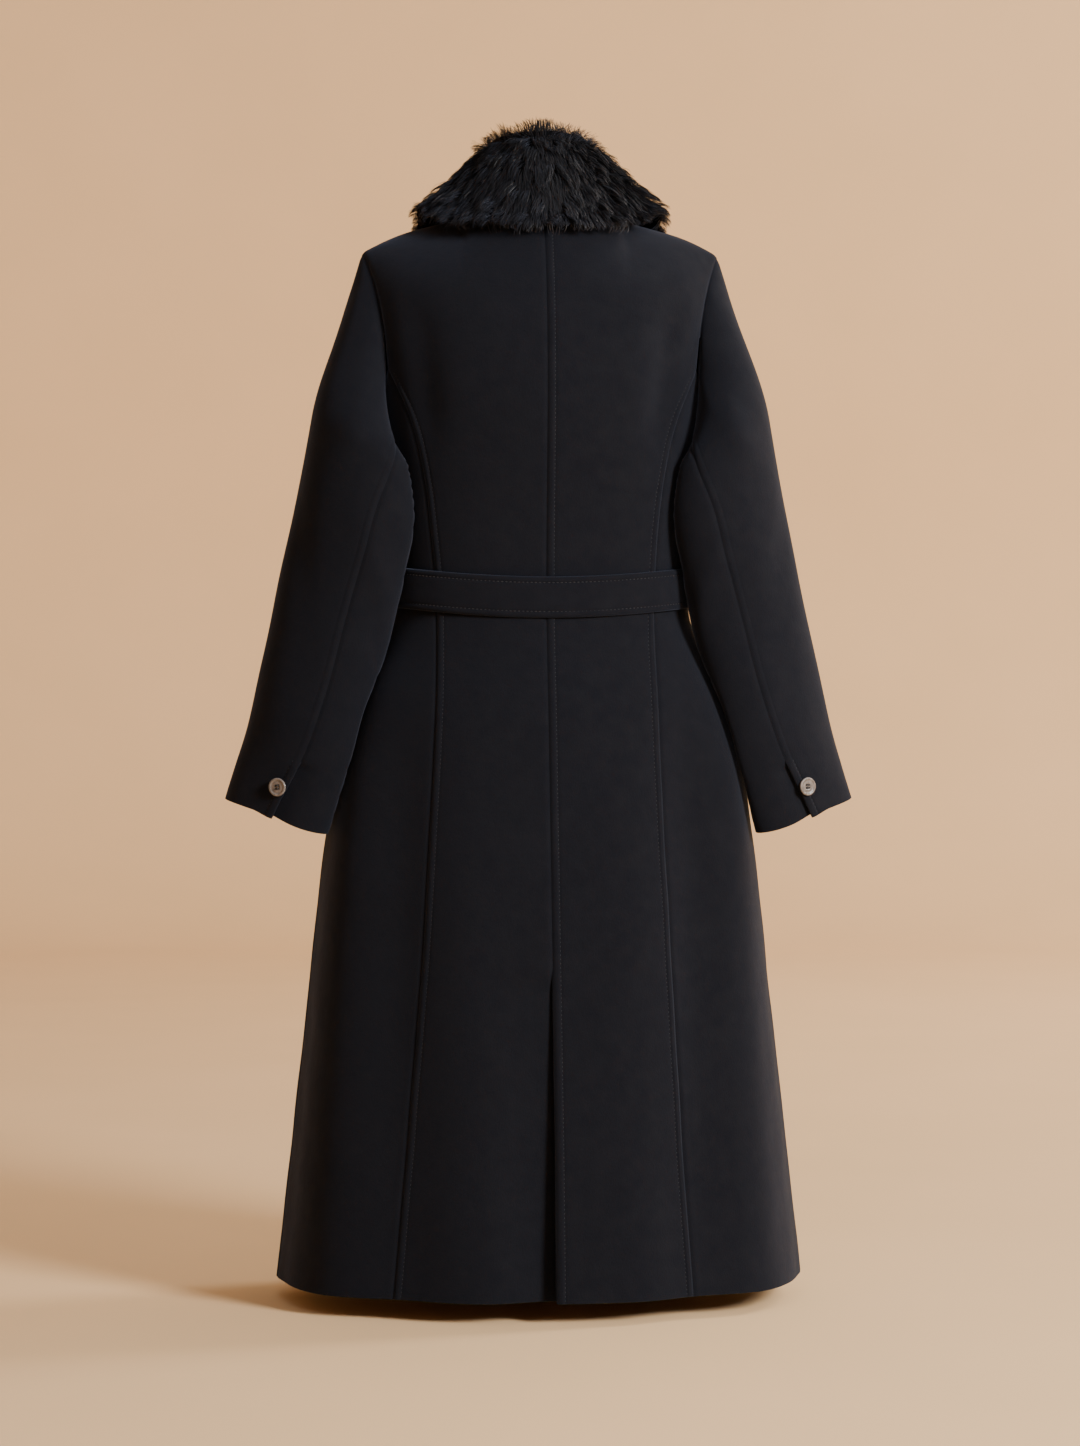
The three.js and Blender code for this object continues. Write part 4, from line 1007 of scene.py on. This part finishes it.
COLLAR = Rows(
    "at neck_x neck_y neck_z top_x top_y top_z edge_x edge_z behind",
    (0, 0, 66, -11.8, 0, 50, 84, 0, -34, 1),
    (1, 37, 60, -10.2, 27, 45, 84, 60, -33, 1),
    (2, 67, 42, -5.9, 47, 31, 82, 104, -29, 1),
    (3, 82, 21, -4, 57, 14, 80, 126, -16.5, 1),
    (4, 87, 5, -2.6, 60, 1, 78, 131, -14.1, 1),
    (5, 85, -10, -2.5, 61, -13, 74, 130, -17.5, 0),
    (6, 80, -28, -10, 61, -32, 64, 133, -36, 0),
    (7, 73, -55, -34, 60, -62, 34, 134, -66, 0),
    (8, 61, -82, -66, 52, -94, -16, 129, -104, 0),
    (9, 46, -103, -104, 42, -122, -68, 114, -146, 0),
    (10, 30, -117, -143, 32, -138, -118, 88, -180, 0),
    (11, 17, -126, -176, 24, -147, -163, 56, -202, 0),
)
FUR_WALL, FUR_FOLD, FUR_LIFT, FUR_BULGE, FUR_TIP, FUR_SEAT = 15.0, 9.0, 9.0, 6.0, 0.45, 0.5
FUR_INSET, FUR_TOP_INSET = 5.0, 5.5
# The strands reach past the core at the back's lower edge and along the fold
FALL_SHORT, TOP_SHORT, MIDDLE_FROM, MIDDLE_TO = 13.0, 6.0, 0.13, 0.26
STATIONS, ROUND, CORNERS = 185, 84, 15
# The fold's crest, counted in corners of the section
CREST = 4.7


def near_crest(place, reach):
    return np.exp(-(((place - CREST) / reach) ** 2))


def body_seat(theta, z):
    """A point of the body and its normal, also close under the shoulder line."""
    x = abs(x_of(theta, z))
    point = body_point(np.array(theta), np.array(z))
    if x >= NECK_HALF and SHOULDER.z(x) - z < 0.5:
        slope = (SHOULDER.z(x + 1) - SHOULDER.z(x - 1)) / 2
        return point, unit(np.array([-slope * np.sign(theta), 0, 1]))
    after, before = (body_point(np.array(theta + step), np.array(z)) for step in (0.004, -0.004))
    normal = unit(np.cross(after - before, body_point(np.array(theta), np.array(z - 0.6)) - point))
    return point, normal * np.sign(normal[0] * point[0] + normal[1] * point[1])


def collar_lines():
    """The neck, fold and edge lines of the whole collar, from the right tip round to the left one."""
    lines = {"neck": [], "top": [], "edge": []}
    for at in range(-11, 12):
        row = dict(zip(COLLAR.names, COLLAR.rows[abs(at)]))
        mirror = np.array([1 if at >= 0 else -1, 1, 1])
        round_at = float(theta_at(row["edge_x"], row["edge_z"]))
        point, normal = body_seat(round_at if row["behind"] else np.pi - round_at, row["edge_z"])
        lines["neck"].append(np.array([row["neck_x"], row["neck_y"], row["neck_z"]]) * mirror)
        lines["top"].append(np.array([row["top_x"], row["top_y"], row["top_z"]]) * mirror)
        lines["edge"].append((point + normal * FUR_LIFT) * mirror)
    return {name: np.array(points) for name, points in lines.items()}


def through_points(points, at, closed=False):
    """A smooth curve through points, at places given in steps from the first."""
    count = len(points)
    i = np.floor(at).astype(int)
    if not closed:
        i = np.clip(i, 0, count - 2)
    t = (at - i)[:, None]

    def pick(k):
        return points[k % count] if closed else points[np.clip(k, 0, count - 1)]

    a, b, c, d = pick(i - 1), pick(i), pick(i + 1), pick(i + 2)
    return 0.5 * (2 * b + (c - a) * t + (2 * a - 5 * b + 4 * c - d) * t**2 + (3 * b - a - 3 * c + d) * t**3)


def collar_section(neck, top, edge, scale):
    """The collar's section as corners of a closed curve, in the plane of the three points."""
    width = np.linalg.norm(neck - edge)
    out = unit(edge - neck)
    rise = top - neck
    up = unit(rise - out * np.dot(rise, out))
    apex = np.clip(1 - 2.1 * FUR_WALL / width, 0.15, 0.55)
    middle = (neck + edge) / 2

    def side(start, end, share, bulge):
        return lerp(start, end, share) + out * bulge

    points = np.array([
        neck - out * 3 + up * FUR_SEAT,
        side(neck, top, 0.35, -5),
        side(neck, top, 0.7, -6),
        top - out * FUR_FOLD,
        top - out * FUR_FOLD * 0.5 + up * FUR_FOLD * 0.7,
        top + out * FUR_FOLD * 0.5 + up * FUR_FOLD * 0.7,
        top + out * FUR_FOLD,
        side(top, edge, 0.25, FUR_FOLD),
        side(top, edge, 0.5, FUR_BULGE + 3),
        side(top, edge, 0.75, FUR_BULGE + 3),
        edge + out * FUR_BULGE + up * 4,
        edge + out * 2 - up * 4,
        edge - out * FUR_WALL * 0.7,
        lerp(middle, top, apex),
        neck + out * min(7, width * 0.3) + up * FUR_SEAT,
    ])
    centre = lerp(middle, top, 0.35)
    return lerp(centre, points, scale), np.cross(out, up)


def collar_surface():
    """The collar's core, a little inside the fur's reach, as rings from one tip to the other. Also
    gives the rings' outward normals and their direction from the neck over the fold to the edge."""
    lines = collar_lines()
    last = len(lines["top"]) - 1
    stations = np.linspace(0, last, STATIONS)
    neck, top, edge = (through_points(lines[name], stations) for name in ("neck", "top", "edge"))
    places = np.linspace(0, CORNERS, ROUND, endpoint=False)
    rings, normals, combed = [], [], []
    for k, station in enumerate(stations):
        from_tip = min(station, last - station)
        scale = lerp(FUR_TIP, 1, np.clip(from_tip / 0.9, 0, 1) ** 0.5)
        corners, plane = collar_section(neck[k], top[k], edge[k], scale)
        ring = through_points(corners, places, closed=True)
        tangent = unit(np.roll(ring, -1, axis=0) - np.roll(ring, 1, axis=0))
        normal = unit(np.cross(plane, tangent))
        if ((ring - ring.mean(0)) * normal).sum() < 0:
            normal = -normal
        central = 1 - smooth(np.abs(station - last / 2) / last, MIDDLE_FROM, MIDDLE_TO)
        ring[:, 2] += FALL_SHORT * central * smooth(places, 7, 10) * (1 - smooth(places, 11.6, 13.2))
        ring[:, 2] -= TOP_SHORT * central * near_crest(places, 2)
        inset = FUR_INSET + FUR_TOP_INSET * near_crest(places, 1.4)
        rings.append(ring - normal * (inset * np.clip(from_tip, 0.3, 1))[:, None])
        normals.append(normal)
        combed.append(tangent)
    return np.array(rings), np.array(normals), np.array(combed), places


STRANDS, FUR_PIECES, LOCK_SPACING, TOP_REACH, LOW_FROM, LOW_TO = 64000, 4, 9.5, 1.3, 8.0, 10.6
# Lengths and heights of the locks and strands, and how they change over the fold, on the stand and low down
LOCK = {"long": 17, "long_top": 10, "long_low": 9, "high": 5.5, "high_top": 4, "turn": 0.24, "pull": 0.32,
        "lifted": 6.5, "lifted_share": 0.2, "near": 14}
STRAND = {"long": 20, "long_top": 11, "long_stand": 9, "long_low": 11, "high": 5.0, "high_top": 4.8,
          "turn": 0.12, "least": 1.2, "upright": 5.5, "upright_share": 0.45, "droop": 0.24}
STRAND_SHARES, STRAND_HALF_WIDTHS = (0, 0.22, 0.48, 0.75, 1.0), (0.34, 0.36, 0.30, 0.19)
# Each strand's tone from root to tip: the rise towards the tip is a painted highlight
STRAND_TIP_HIGHLIGHT = (0.1, 0.25, 0.5, 0.75, 0.1, 0.25, 0.5, 0.75, 1.0)
STRAND_FACES = ((0, 4, 5, 1), (1, 5, 6, 2), (2, 6, 7, 3), (3, 7, 8))


def on_rings(field, i, j):
    """Values of a field of rings at places between them. The second index wraps round."""
    i0 = np.clip(np.floor(i).astype(int), 0, field.shape[0] - 2)
    j0 = np.floor(j).astype(int)
    fi, fj = (i - i0)[:, None], (j - j0)[:, None]
    size = field.shape[1]
    low = lerp(field[i0, j0 % size], field[i0, (j0 + 1) % size], fj)
    high = lerp(field[i0 + 1, j0 % size], field[i0 + 1, (j0 + 1) % size], fj)
    return lerp(low, high, fi)


def scatter(count, rings, places, low, high, rng):
    """Random places on the rings between two corners of the section, evenly by area."""
    inside = np.where((places >= low) & (places <= high))[0]
    across = np.linalg.norm(np.diff(rings, axis=0), axis=-1)[:, inside]
    along = np.linalg.norm(np.roll(rings, -1, axis=1) - rings, axis=-1)[:-1, inside]
    weight = (across * along).ravel()
    picked = rng.choice(len(weight), count, p=weight / weight.sum())
    return picked // len(inside) + rng.random(count), inside[picked % len(inside)] + rng.random(count)


def nearest_lock(root, normal, lock_root, lock_normal):
    """The lock that each strand belongs to, on the same side of the collar."""
    nearest = []
    for start in range(0, len(root), 4000):
        part, facing = root[start : start + 4000], normal[start : start + 4000] @ lock_normal.T
        distance = (part**2).sum(1)[:, None] - 2 * part @ lock_root.T + (lock_root**2).sum(1)
        nearest.append(np.argmin(distance + 400 * (1 - facing), axis=1))
    return np.concatenate(nearest)


def make_collar():
    rng = np.random.default_rng(42)
    rings, normals, combed, places = collar_surface()
    # The core wears the painted shade of the fur's depth
    dress(swept("collar_core", rings), FUR_CORE_SHADE, "collar")

    perimeter = np.linalg.norm(np.roll(rings, -1, axis=1) - rings, axis=-1).sum(1).mean()
    length = np.linalg.norm(np.diff(rings.mean(axis=1), axis=0), axis=-1).sum()
    locks = int(perimeter * length * 0.8 / LOCK_SPACING**2)
    i, j = scatter(locks, rings, places, 0.8, 12.0, rng)
    lock_root = on_rings(rings, i, j)
    lock_comb = unit(on_rings(combed, i, j))
    lock_normal = unit(on_rings(normals, i, j))
    lock_turn = rng.normal(0, LOCK["turn"], locks)
    lock_way = unit(lock_comb + np.cross(lock_normal, lock_comb) * lock_turn[:, None])
    lock_place = j * CORNERS / ROUND
    lock_top = near_crest(lock_place, TOP_REACH)
    lock_long = rng.uniform(0.7, 1.25, locks)
    lock_high = rng.normal(0, 1.0, locks) + LOCK["lifted"] * (rng.random(locks) < LOCK["lifted_share"])
    lock_tone = rng.random(locks)
    lock_low = smooth(lock_place, LOW_FROM, LOW_TO)
    lock_reach = (LOCK["long"] - LOCK["long_top"] * lock_top - LOCK["long_low"] * lock_low) * lock_long
    lock_rise = LOCK["high"] + LOCK["high_top"] * lock_top + lock_high
    lock_tip = lock_root + lock_way * lock_reach[:, None] + lock_normal * lock_rise[:, None]

    i, j = scatter(STRANDS, rings, places, 0.6, 11.2, rng)
    root, normal, comb = on_rings(rings, i, j), unit(on_rings(normals, i, j)), unit(on_rings(combed, i, j))
    lock = nearest_lock(root, normal, lock_root, lock_normal)
    place = j * CORNERS / ROUND
    over_top = near_crest(place, TOP_REACH)
    on_stand = 1 - smooth(place, 1.5, 3.2)
    low_edge = smooth(place, LOW_FROM, LOW_TO)
    on_fall = smooth(place, 6.6, 9.4)
    length = STRAND["long"] - STRAND["long_top"] * over_top - STRAND["long_stand"] * on_stand
    length = (length - STRAND["long_low"] * low_edge) * lock_long[lock] * rng.uniform(0.75, 1.15, STRANDS)
    high = STRAND["high"] + STRAND["high_top"] * over_top + lock_high[lock] + rng.normal(0, 0.9, STRANDS)
    high = np.maximum(high * (1 - 0.45 * on_stand), STRAND["least"])
    upright = over_top * (rng.random(STRANDS) < STRAND["upright_share"])
    high = high + STRAND["upright"] * upright * rng.random(STRANDS)
    length = length * (1 - 0.45 * upright)
    droop = STRAND["droop"] * (1 - 0.9 * over_top)
    sideways = np.cross(normal, comb)
    way = unit(comb + sideways * (lock_turn[lock] + rng.normal(0, STRAND["turn"], STRANDS))[:, None])
    lines = []
    for share in STRAND_SHARES:
        point = root + way * (length * share)[:, None] + normal * (high * (1 - (1 - share) ** 2))[:, None]
        point[:, 2] -= length * droop * share**2
        far = np.linalg.norm(lock_tip[lock] - point, axis=1, keepdims=True)
        pull = LOCK["pull"] * share**1.5 * np.clip(LOCK["near"] / np.maximum(far, 1), 0, 1)
        lines.append(lerp(point, lock_tip[lock], pull))
    lines = np.stack(lines, axis=1)
    width = np.array(STRAND_HALF_WIDTHS) * rng.uniform(0.75, 1.25, STRANDS)[:, None]
    twist = rng.normal(0, 0.5, STRANDS)[:, None]
    face = unit(sideways * np.cos(twist) + normal * np.sin(twist))
    left = lines[:, :4] - face[:, None] * width[..., None]
    right = lines[:, :4] + face[:, None] * width[..., None]
    vertices = np.concatenate([left, right, lines[:, 4:]], axis=1)
    # Random tone of locks and strands, plus a painted highlight on the fall and at the low edge
    pale_tone_and_highlight = 0.2 * lock_tone[lock] + 0.45 * rng.random(STRANDS) ** 2 + 0.2 * on_fall + 0.3 * low_edge
    tone_and_highlight = np.array(STRAND_TIP_HIGHLIGHT) * np.clip(pale_tone_and_highlight, 0, 1)[:, None]
    for number, group in enumerate(np.array_split(np.argsort(i), FUR_PIECES)):
        base = 9 * np.arange(len(group))[:, None]
        faces = []
        for shape in STRAND_FACES:
            faces += (base + np.array(shape)).tolist()
        piece = make_mesh(f"fur_{number + 1}", vertices[group].reshape(-1, 3), faces)
        attribute = piece.data.attributes.new("tone_and_highlight", "FLOAT", "POINT")
        attribute.data.foreach_set("value", tone_and_highlight[group].ravel().astype(np.float32))
        dress(piece, FUR)


# Buttons

BUTTON_THICK, HOLE_RADIUS, HOLE_RING = 3.2, 1.1, 2.3
HOLE_NEAR = HOLE_RING / np.sqrt(2)
THREAD_RADIUS, THREAD_APART, THREAD_HIGH, THREAD_ARCH = 0.32, 0.35, 2.3, 0.75
THREAD_STEPS, THREAD_SIDES = 9, 8
# Distances from the button's axis and heights, from the foot over the rim to the hollow of the face
BUTTON_PROFILE = ((0, 0), (7.6, 0), (8.6, 0.15), (9.4, 0.6), (9.85, 1.2), (10, 1.8), (9.9, 2.4), (9.6, 2.9),
                  (9.1, 3.15), (8.5, 3.2), (7.9, 3.05), (7.45, 2.6), (7.1, 2.35), (6.4, 2.3), (5.9, 2.2),
                  (5.5, 2.3), (4.4, 2.3), (0, 2.25))


def button_disc(name):
    """A turned disc. Its axis is Z and its face looks along +Z."""
    turns = 72
    angle = np.arange(turns) * 2 * np.pi / turns
    rings = [np.stack([r * np.cos(angle), r * np.sin(angle), np.full(turns, h)], -1)
             for r, h in BUTTON_PROFILE[1:-1]]
    return swept(name, np.stack(rings))


def drill(piece):
    """Cuts the four holes."""
    for x in (-HOLE_NEAR, HOLE_NEAR):
        for y in (-HOLE_NEAR, HOLE_NEAR):
            bpy.ops.mesh.primitive_cylinder_add(
                vertices=24, radius=HOLE_RADIUS * MM, depth=4 * BUTTON_THICK * MM,
                location=(x * MM, y * MM, 0))
            cutter = bpy.context.object
            modifier = piece.modifiers.new("hole", "BOOLEAN")
            modifier.operation = "DIFFERENCE"
            modifier.object = cutter
            shown = piece.evaluated_get(bpy.context.evaluated_depsgraph_get())
            made = bpy.data.meshes.new_from_object(shown)
            piece.modifiers.clear()
            piece.data = made
            bpy.data.objects.remove(cutter)


def button_thread(name):
    """Pairs of thread bars from hole to hole."""
    vertices, faces = [], []
    turn, size = np.arange(THREAD_SIDES) * 2 * np.pi / THREAD_SIDES, THREAD_SIDES
    for y in [hole + apart for hole in (-HOLE_NEAR, HOLE_NEAR) for apart in (-THREAD_APART, THREAD_APART)]:
        base = len(vertices)
        for t in np.linspace(-1, 1, THREAD_STEPS):
            height = THREAD_HIGH + THREAD_ARCH * (1 - t**4) - 1.6 * max(0, abs(t) - 0.85) / 0.15
            for a in turn:
                vertices.append((t * (HOLE_NEAR + THREAD_APART), y + THREAD_RADIUS * np.cos(a),
                                 height + THREAD_RADIUS * np.sin(a)))
        last = base + size * (THREAD_STEPS - 1)
        faces += (ring_faces(THREAD_STEPS, size) + base).tolist()
        faces += [list(range(base, base + size)), list(range(last, last + size))]
    piece = make_mesh(name, vertices, faces)
    close_up(piece)
    return piece


def make_button(side_name, top):
    node = f"cuff_button_{side_name}"
    low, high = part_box(node)
    centre = (low + high) / 2
    points, normals = (values.reshape(-1, 3) for values in top)
    nearest = np.argmin(np.linalg.norm(points - np.array(centre) / MM, axis=1))
    normal = Vector(normals[nearest])
    turn = normal.to_track_quat("Z", "Y").to_matrix().to_4x4()
    turn.translation = centre - normal * (BUTTON_THICK / 2 * MM)
    disc, thread = button_disc(f"button_{side_name}"), button_thread(f"button_thread_{side_name}")
    drill(disc)
    disc.data.polygons.foreach_set("use_smooth", [True] * len(disc.data.polygons))
    for piece, material, slot, stands_for in ((disc, HORN, "button", node), (thread, THREAD, "wool", None)):
        piece.data.transform(turn)
        piece.data.materials.clear()
        dress(piece, material, stands_for)


# Room, camera and lights

CAMERA_DISTANCE, CAMERA_TURN, CAMERA_Z, LENS, SENSOR = 3.6, 4.0, -0.5555, 81.5, 36
FLOOR_Z, FLOOR_RADIUS, FLOOR_CURVE, WALL_TOP, ROOM_SIDES = -1.185, 5.5, 1.5, 5.0, 96


def make_room():
    """A round seamless backdrop: the floor curves up into a wall all round, open above."""
    profile = [(radius, FLOOR_Z) for radius in (0.6, 1.5, 3.0, FLOOR_RADIUS)]
    for t in np.linspace(0, np.pi / 2, 17)[1:]:
        profile.append((FLOOR_RADIUS + FLOOR_CURVE * np.sin(t), FLOOR_Z + FLOOR_CURVE * (1 - np.cos(t))))
    profile.append((FLOOR_RADIUS + FLOOR_CURVE, WALL_TOP))
    angle = np.arange(ROOM_SIDES) * 2 * np.pi / ROOM_SIDES
    across, along = np.cos(angle), np.sin(angle)
    rings = [np.stack([r * across, r * along, np.full(ROOM_SIDES, z)], -1) for r, z in profile]
    vertices = np.concatenate([*rings, [[0, 0, FLOOR_Z]]]) / MM
    faces = ring_faces(len(profile), ROOM_SIDES).tolist()
    faces += [((t + 1) % ROOM_SIDES, t, len(vertices) - 1) for t in range(ROOM_SIDES)]
    room = make_mesh("backdrop", vertices, faces)
    room.data.materials.append(PAPER)


def make_camera():
    turn = np.radians(CAMERA_TURN)
    place = Vector((CAMERA_DISTANCE * np.sin(turn), CAMERA_DISTANCE * np.cos(turn), CAMERA_Z))
    data = bpy.data.cameras.new("camera")
    data.lens, data.sensor_width, data.sensor_fit = LENS, SENSOR, "AUTO"
    camera = bpy.data.objects.new("camera", data)
    bpy.context.scene.collection.objects.link(camera)
    camera.location = place
    camera.rotation_mode = "QUATERNION"
    camera.rotation_quaternion = (Vector((0, 0, CAMERA_Z)) - place).to_track_quat("-Z", "Y")
    bpy.context.scene.camera = camera


def make_light(name, place, target, size, power, colour):
    data = bpy.data.lights.new(name, "AREA")
    data.shape, data.size, data.energy, data.color = "DISK", size, power, colour
    light = bpy.data.objects.new(name, data)
    bpy.context.scene.collection.objects.link(light)
    light.location = place
    light.rotation_mode = "QUATERNION"
    light.rotation_quaternion = (Vector(target) - Vector(place)).to_track_quat("-Z", "Y")


def make_lights():
    make_light("key", (-2.6, 2.8, 0.8), (0, 0, -0.6), 1.2, 310, (1.0, 0.97, 0.93))
    make_light("fill", (0.4, 2.2, 1.3), (0, 0, -0.1), 1.0, 9, (0.95, 0.97, 1.0))
    make_light("wall_wash", (-4.4, -1.5, 3.0), (-2.4, -6.5, -0.3), 2.4, 500, (1.0, 0.94, 0.86))
    world = bpy.data.worlds.new("studio")
    world.use_nodes = True
    background = world.node_tree.nodes["Background"]
    background.inputs["Color"].default_value = (0.92, 0.88, 0.82, 1)
    background.inputs["Strength"].default_value = 0.34
    bpy.context.scene.world = world


make_camera()
make_room()
make_lights()
for side_name, side in SIDES:
    armhole = make_body(side_name, side)
    make_button(side_name, make_sleeve(side_name, side, *armhole))
    make_belt_end(side_name)
make_vent_underlap()
make_belt()
make_knot()
make_collar()
sewing_piece()
